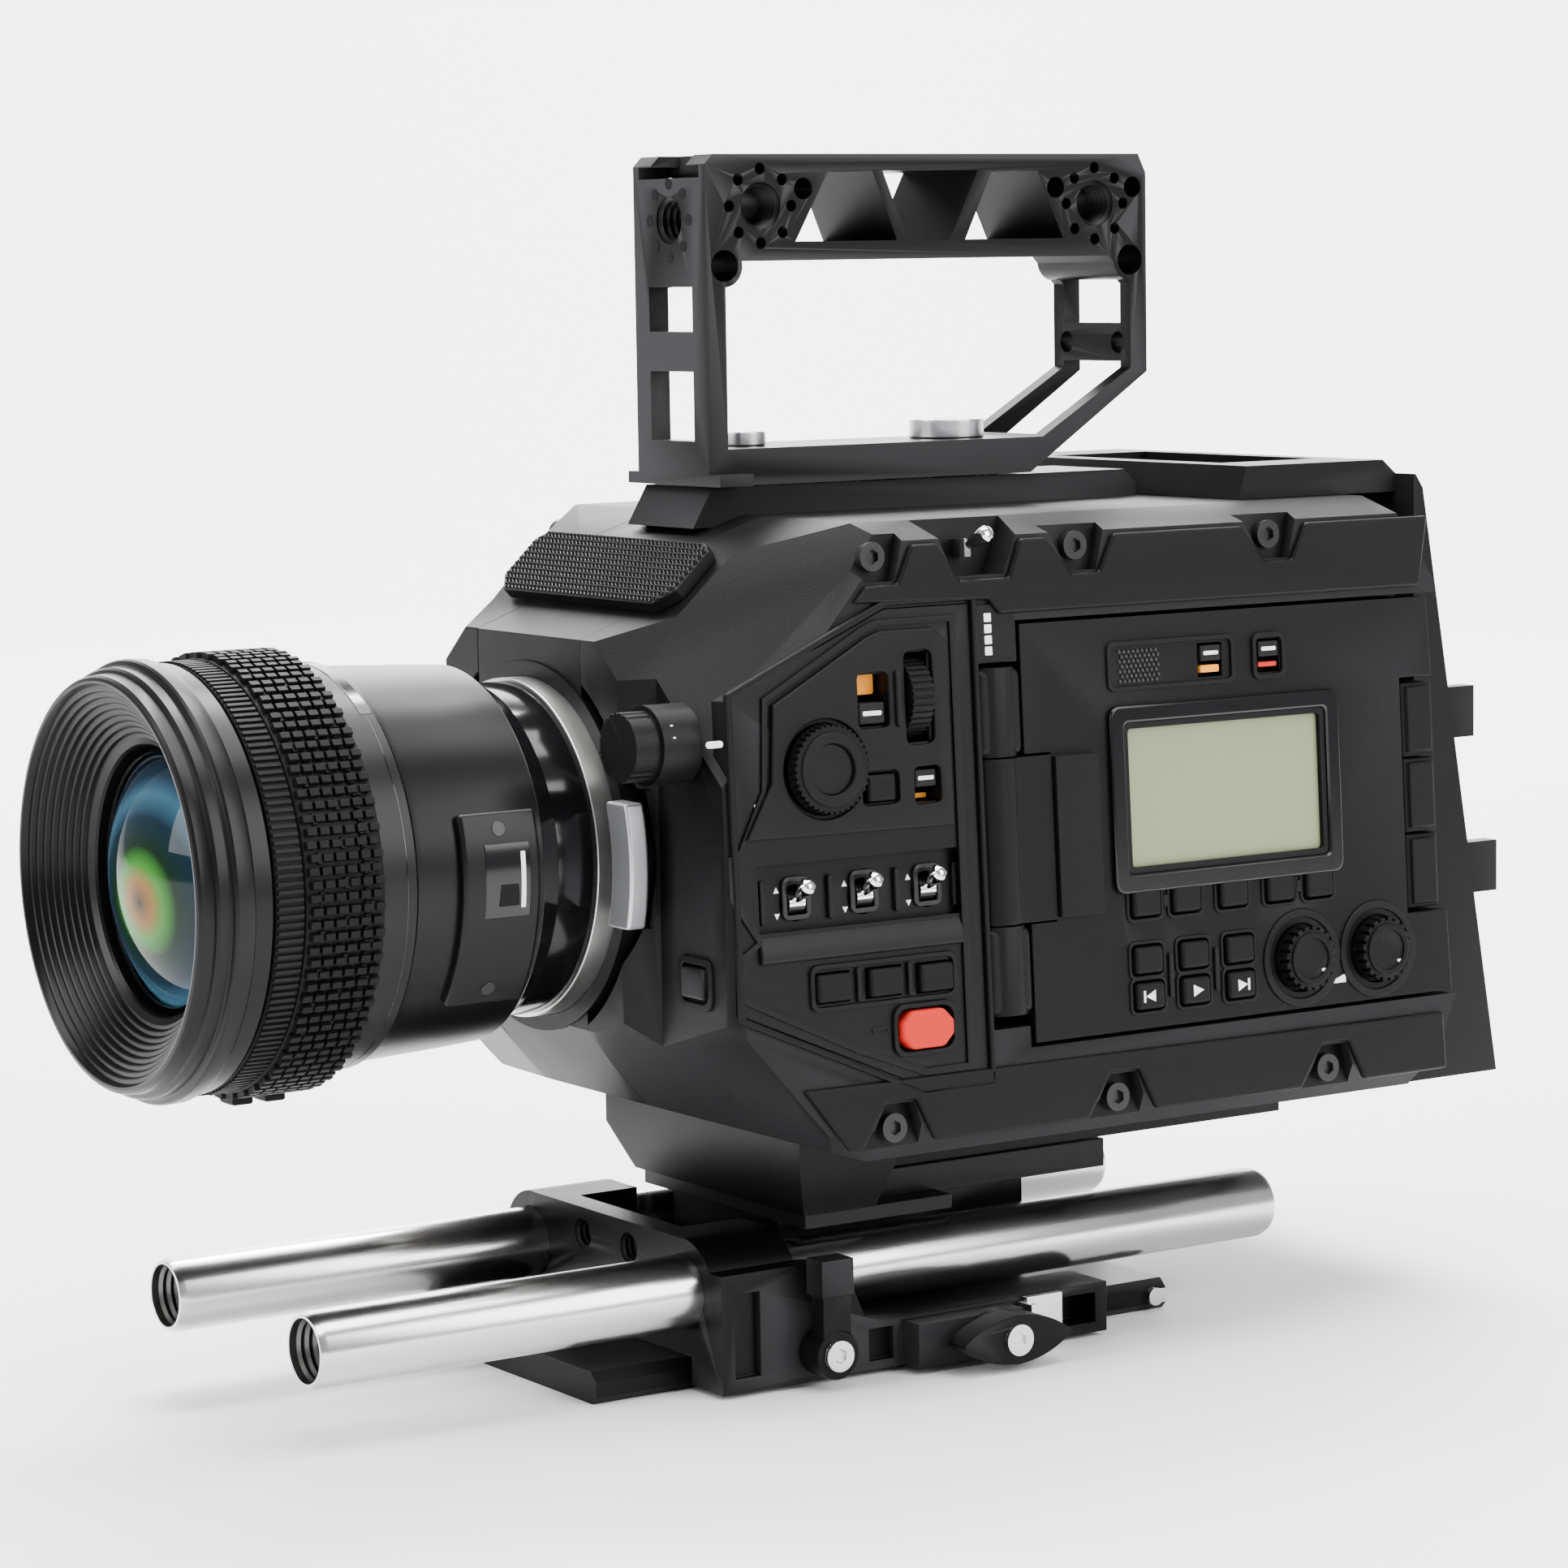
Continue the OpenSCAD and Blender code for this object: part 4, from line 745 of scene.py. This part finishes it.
lens_satin = coated("lens_satin", (0.0024, 0.0024, 0.0026), 0.3, grain=4600, bump=0.000015, gloss=0.16, patch=0.04)
cone = []
for i in range(9):
    r = 38.2 - 1.2 * i
    y = -91.6 + 1.0 * i
    cone += [(r, y), (r - 0.25, y + 0.75), (r - 0.95, y + 0.8)]
barrel = [(39.0, -92.2), (38.5, -92.15)] + cone + [
    (26.4, -82.0), (26.1, -81.4), (26.1, -72.4), (17, -72.3), (17, -60.4), (12, -59.4), (12, -17.2), (22, -11.2),
    (22, 3), (26.6, 3), (26.6, -3.5), (33.3, -3.5), (33.4, -4.2), (33.4, -11.8), (33.9, -12.2), (35, -16.4),
    (35.6, -16.9), (37.3, -17.2), (37.6, -17.6), (38.1, -26), (39.0, -44.6), (39.2, -45.9), (39.6, -46.4),
    (40, -46.7), (40, -53.9), (39.8, -54.1), (38.1, -54.2), (38.1, -77.4), (41.2, -77.5), (41.5, -77.8),
    (41.5, -81.2), (41.9, -81.4), (42.5, -81.9), (42.7, -82.4), (42.7, -85.2), (42.4, -85.7), (41.6, -86),
    (41.3, -86.3), (41.3, -88.4), (40.9, -88.9), (40.3, -89.1), (40.1, -89.5), (40.0, -91.4), (39.6, -92)]
turned("lens_body", barrel, lambda r0, y0, r1, y1: 1 if max(y0, y1) > -17.4 and min(r0, r1) > 30 and y0 < -4 else 0,
       [lens_satin, gloss_black], "lens", stands_for=("lens_barrel",))
turned("barrel_lines", [(39.3, -48.4), (40.06, -48.5), (40.06, -48.7), (39.3, -48.8)], lambda *a: 0, [gloss_black],
       "lens")


def glass_with_painted_reflections():
    material = bpy.data.materials.new("coated_glass")
    material.use_nodes = True
    tree = material.node_tree
    shader = tree.nodes["Principled BSDF"]
    made, link = tree.nodes.new, tree.links.new
    shader.inputs["Roughness"].default_value = 0.03
    shader.inputs["Specular IOR Level"].default_value = 0.14
    place, apart, rim, painted_reflection_tint = (made("ShaderNodeTexCoord"), made("ShaderNodeVectorMath"), made("ShaderNodeVectorMath"),
                               made("ShaderNodeValToRGB"))
    apart.operation = "SUBTRACT"
    apart.inputs[1].default_value = (0.004, 0.0, 0.1045)
    flat = made("ShaderNodeVectorMath")
    flat.operation = "MULTIPLY"
    flat.inputs[1].default_value = (1, 0, 1)
    rim.operation = "LENGTH"
    span = made("ShaderNodeMapRange")
    span.inputs["From Max"].default_value = 0.027
    link(place.outputs["Object"], apart.inputs[0])
    link(apart.outputs[0], flat.inputs[0])
    link(flat.outputs[0], rim.inputs[0])
    link(rim.outputs["Value"], span.inputs["Value"])
    link(span.outputs[0], painted_reflection_tint.inputs["Fac"])
    # Painted reflection: the coating's coloured reflections are painted into the base colour as rings by distance from
    # the lens axis, orange and green near the middle, blue towards the rim.
    ramp = painted_reflection_tint.color_ramp
    ramp.elements[0].position, ramp.elements[0].color = 0.0, (0.012, 0.012, 0.004, 1)
    ramp.elements[1].position, ramp.elements[1].color = 1.0, (0.002, 0.004, 0.008, 1)
    for spot, colour in ((0.15, (0.16, 0.075, 0.01, 1)), (0.27, (0.03, 0.15, 0.02, 1)), (0.4, (0.004, 0.014, 0.006, 1)),
                         (0.6, (0.004, 0.014, 0.024, 1)), (0.76, (0.03, 0.085, 0.13, 1)),
                         (0.88, (0.008, 0.02, 0.034, 1))):
        ramp.elements.new(spot).color = colour
    link(painted_reflection_tint.outputs["Color"], shader.inputs["Base Color"])
    return material


glass = glass_with_painted_reflections()
dome = [(26 * i / 24, -87.4 + 40 - math.sqrt(1600 - (26 * i / 24) ** 2)) for i in range(25)]
turned("front_element", [(0.01, y + 0.01) if r == 0 else (r, y) for r, y in dome] + [(26, -72.6), (0.01, -72.6)],
       lambda *a: 0, [glass], "lens", stands_for=("lens_front_glass",))
turned("element_ring", [(25.9, -78.6), (24.6, -80.2), (24.4, -79.6), (25.8, -77.8)], lambda *a: 0, [gloss_black], "lens")


def round_barrel(turn, along, out):
    """A point round the lens barrel: an angle up from the operator's side, a place along the axis and a radius."""
    angle = math.radians(turn)
    return Vector((out * math.cos(angle), along, AXIS + out * math.sin(angle)))


def barrel_patch(name, y0, y1, t0, t1, low, high, material, body, width=0.4, steps=14, inset=0.0):
    """A raised plate that follows the barrel's curve."""
    points, faces = [], []
    for i in range(steps + 1):
        angle = t0 + (t1 - t0) * i / steps
        for y, r in ((y0, low), (y0 + inset, high), (y1 - inset, high), (y1, low)):
            points.append(round_barrel(angle, y, r) * MM)
    for i in range(steps):
        a, b = 4 * i, 4 * i + 4
        faces += [(a + k, a + k + 1, b + k + 1, b + k) for k in range(3)] + [(a + 3, a, b, b + 3)]
    faces += [(3, 2, 1, 0), tuple(4 * steps + k for k in range(4))]
    mesh = bpy.data.meshes.new(name)
    mesh.from_pydata(points, [], faces)
    work = bmesh.new()
    work.from_mesh(mesh)
    bmesh.ops.recalc_face_normals(work, faces=work.faces)
    work.to_mesh(mesh)
    work.free()
    mesh.materials.append(material)
    mesh.shade_smooth()
    return put(name, mesh, body, width, 3, 20)


barrel_patch("switch_plate", -37, -19.2, -39, 18.6, 37.4, 40.3, lens_satin, "lens", 0.9, inset=0.5)
barrel_patch("switch_well", -32, -22, -11, 9.5, 39.8, 40.42, gloss_black, "lens", 0.25)
barrel_patch("switch_line", -24.2, -23.2, -8.4, 7, 40.3, 40.5, white_mark, "lens", 0.1)
for label, t in (("upper", 13.6), ("lower", -33)):
    plates("barrel_screw_" + label, [(disc(-28.4, 40.2 * math.radians(t) * 1.0, 1.5, 24), 40.2, 40.5)],
           lambda y, s, out: round_barrel(math.degrees(s / 40.2), y, out), black_steel, "lens", 0.15)
rounded("af_switch", 0.25, rubber)
barrel_patch("scale_window", -49.8, -46.9, 52, 86, 38.6, 40.12, gloss_black, "lens", 0.3)


# ---------------------------------------------------------------------------------------------
# The focus ring with its follow-focus gear belt.
# A ribbed rubber ring; over it a moulded toothed belt pulled tight by two straps under the lens.

turned("ring_base", [(38.6, -77), (41.0, -77), (41.3, -76.8), (41.3, -71.2), (41.9, -71), (42.0, -70.8),
                     (42.0, -54.9), (41.8, -54.6), (38.6, -54.6)], lambda *a: 0, [rubber], "focus_ring",
       stands_for=("focus_ring",))


def small_blocks(name, blocks, material, body, width=0.0):
    """Many small blocks round the lens in one piece: (angle, half angle, y0, y1, inner radius, outer radius)."""
    points, faces = [], []
    for middle, half, y0, y1, low, high in blocks:
        start = len(points)
        for r in (low, high):
            slim = half if r == low else half * 0.78
            for t, y in ((-slim, y0), (slim, y0), (slim, y1), (-slim, y1)):
                points.append(round_barrel(middle + t, y, r) * MM)
        a = start
        faces += [(a + 4, a + 5, a + 6, a + 7), (a, a + 1, a + 5, a + 4), (a + 1, a + 2, a + 6, a + 5),
                  (a + 2, a + 3, a + 7, a + 6), (a + 3, a, a + 4, a + 7), (a + 3, a + 2, a + 1, a)]
    mesh = bpy.data.meshes.new(name)
    mesh.from_pydata(points, [], faces)
    work = bmesh.new()
    work.from_mesh(mesh)
    bmesh.ops.recalc_face_normals(work, faces=work.faces)
    work.to_mesh(mesh)
    work.free()
    mesh.materials.append(material)
    return put(name, mesh, body, width)


small_blocks("ring_ribs", [(360 * i / 170, 0.62, -76.6, -71.4, 41.0, 41.8) for i in range(170)], rubber, "focus_ring")
teeth = []
for i in range(108):
    for k in range(6):
        y = -70.6 + 2.62 * k + (0.5 if i % 2 else 0)
        teeth.append((360 * i / 108, 1.15, y, y + 2.0, 41.8, 43.2))
small_blocks("belt_teeth", teeth, rubber, "focus_ring", 0.08)
small_blocks("belt_joins", [(360 * i / 108, 1.75, y, y + 0.9, 41.8, 42.6) for i in range(108)
                            for y in (-68.4 + 5.24 * (i % 3), -59.0)], rubber, "focus_ring")
for k, y in enumerate((-68, -61)):
    barrel_patch("strap_head_%d" % k, y, y + 4.4, 266, 274, 41.6, 44.9, rubber, "focus_ring", 0.5, 4)


# ---------------------------------------------------------------------------------------------
# The top handle and its screws.
# Milled aluminium, black anodised, with threaded holes ringed by locating holes; two steel cap screws hold it.

rounded("top_handle", 0.55, anodised, segments=3)
for label, y in (("front", 50), ("rear", 134.2)):
    for end, x, way in (("near", 13.4, -1), ("far", -13.4, 1)):
        tube_rings("handle_thread_%s_%s" % (label, end), (x, y, 234.7), (way, 0, 0), 4.74, 9, 1.59, 0.75, anodised,
                   "camera", 48)
tube_rings("handle_thread_nose", (0, 37.1, 232.1), (0, 1, 0), 4.74, 7, 1.59, 0.75, anodised, "camera",
           48)
plates("nose_holes", [(disc(7.4 * math.cos(math.radians(45 * i)), 232.1 + 7.4 * math.sin(math.radians(45 * i)), 1.2, 16),
                       -37.4, -36.72) for i in range(8)], front, gloss_black, "camera", 0,
       smooth=False)
rounded("silver_screws", 0.4, bright_steel, segments=3)
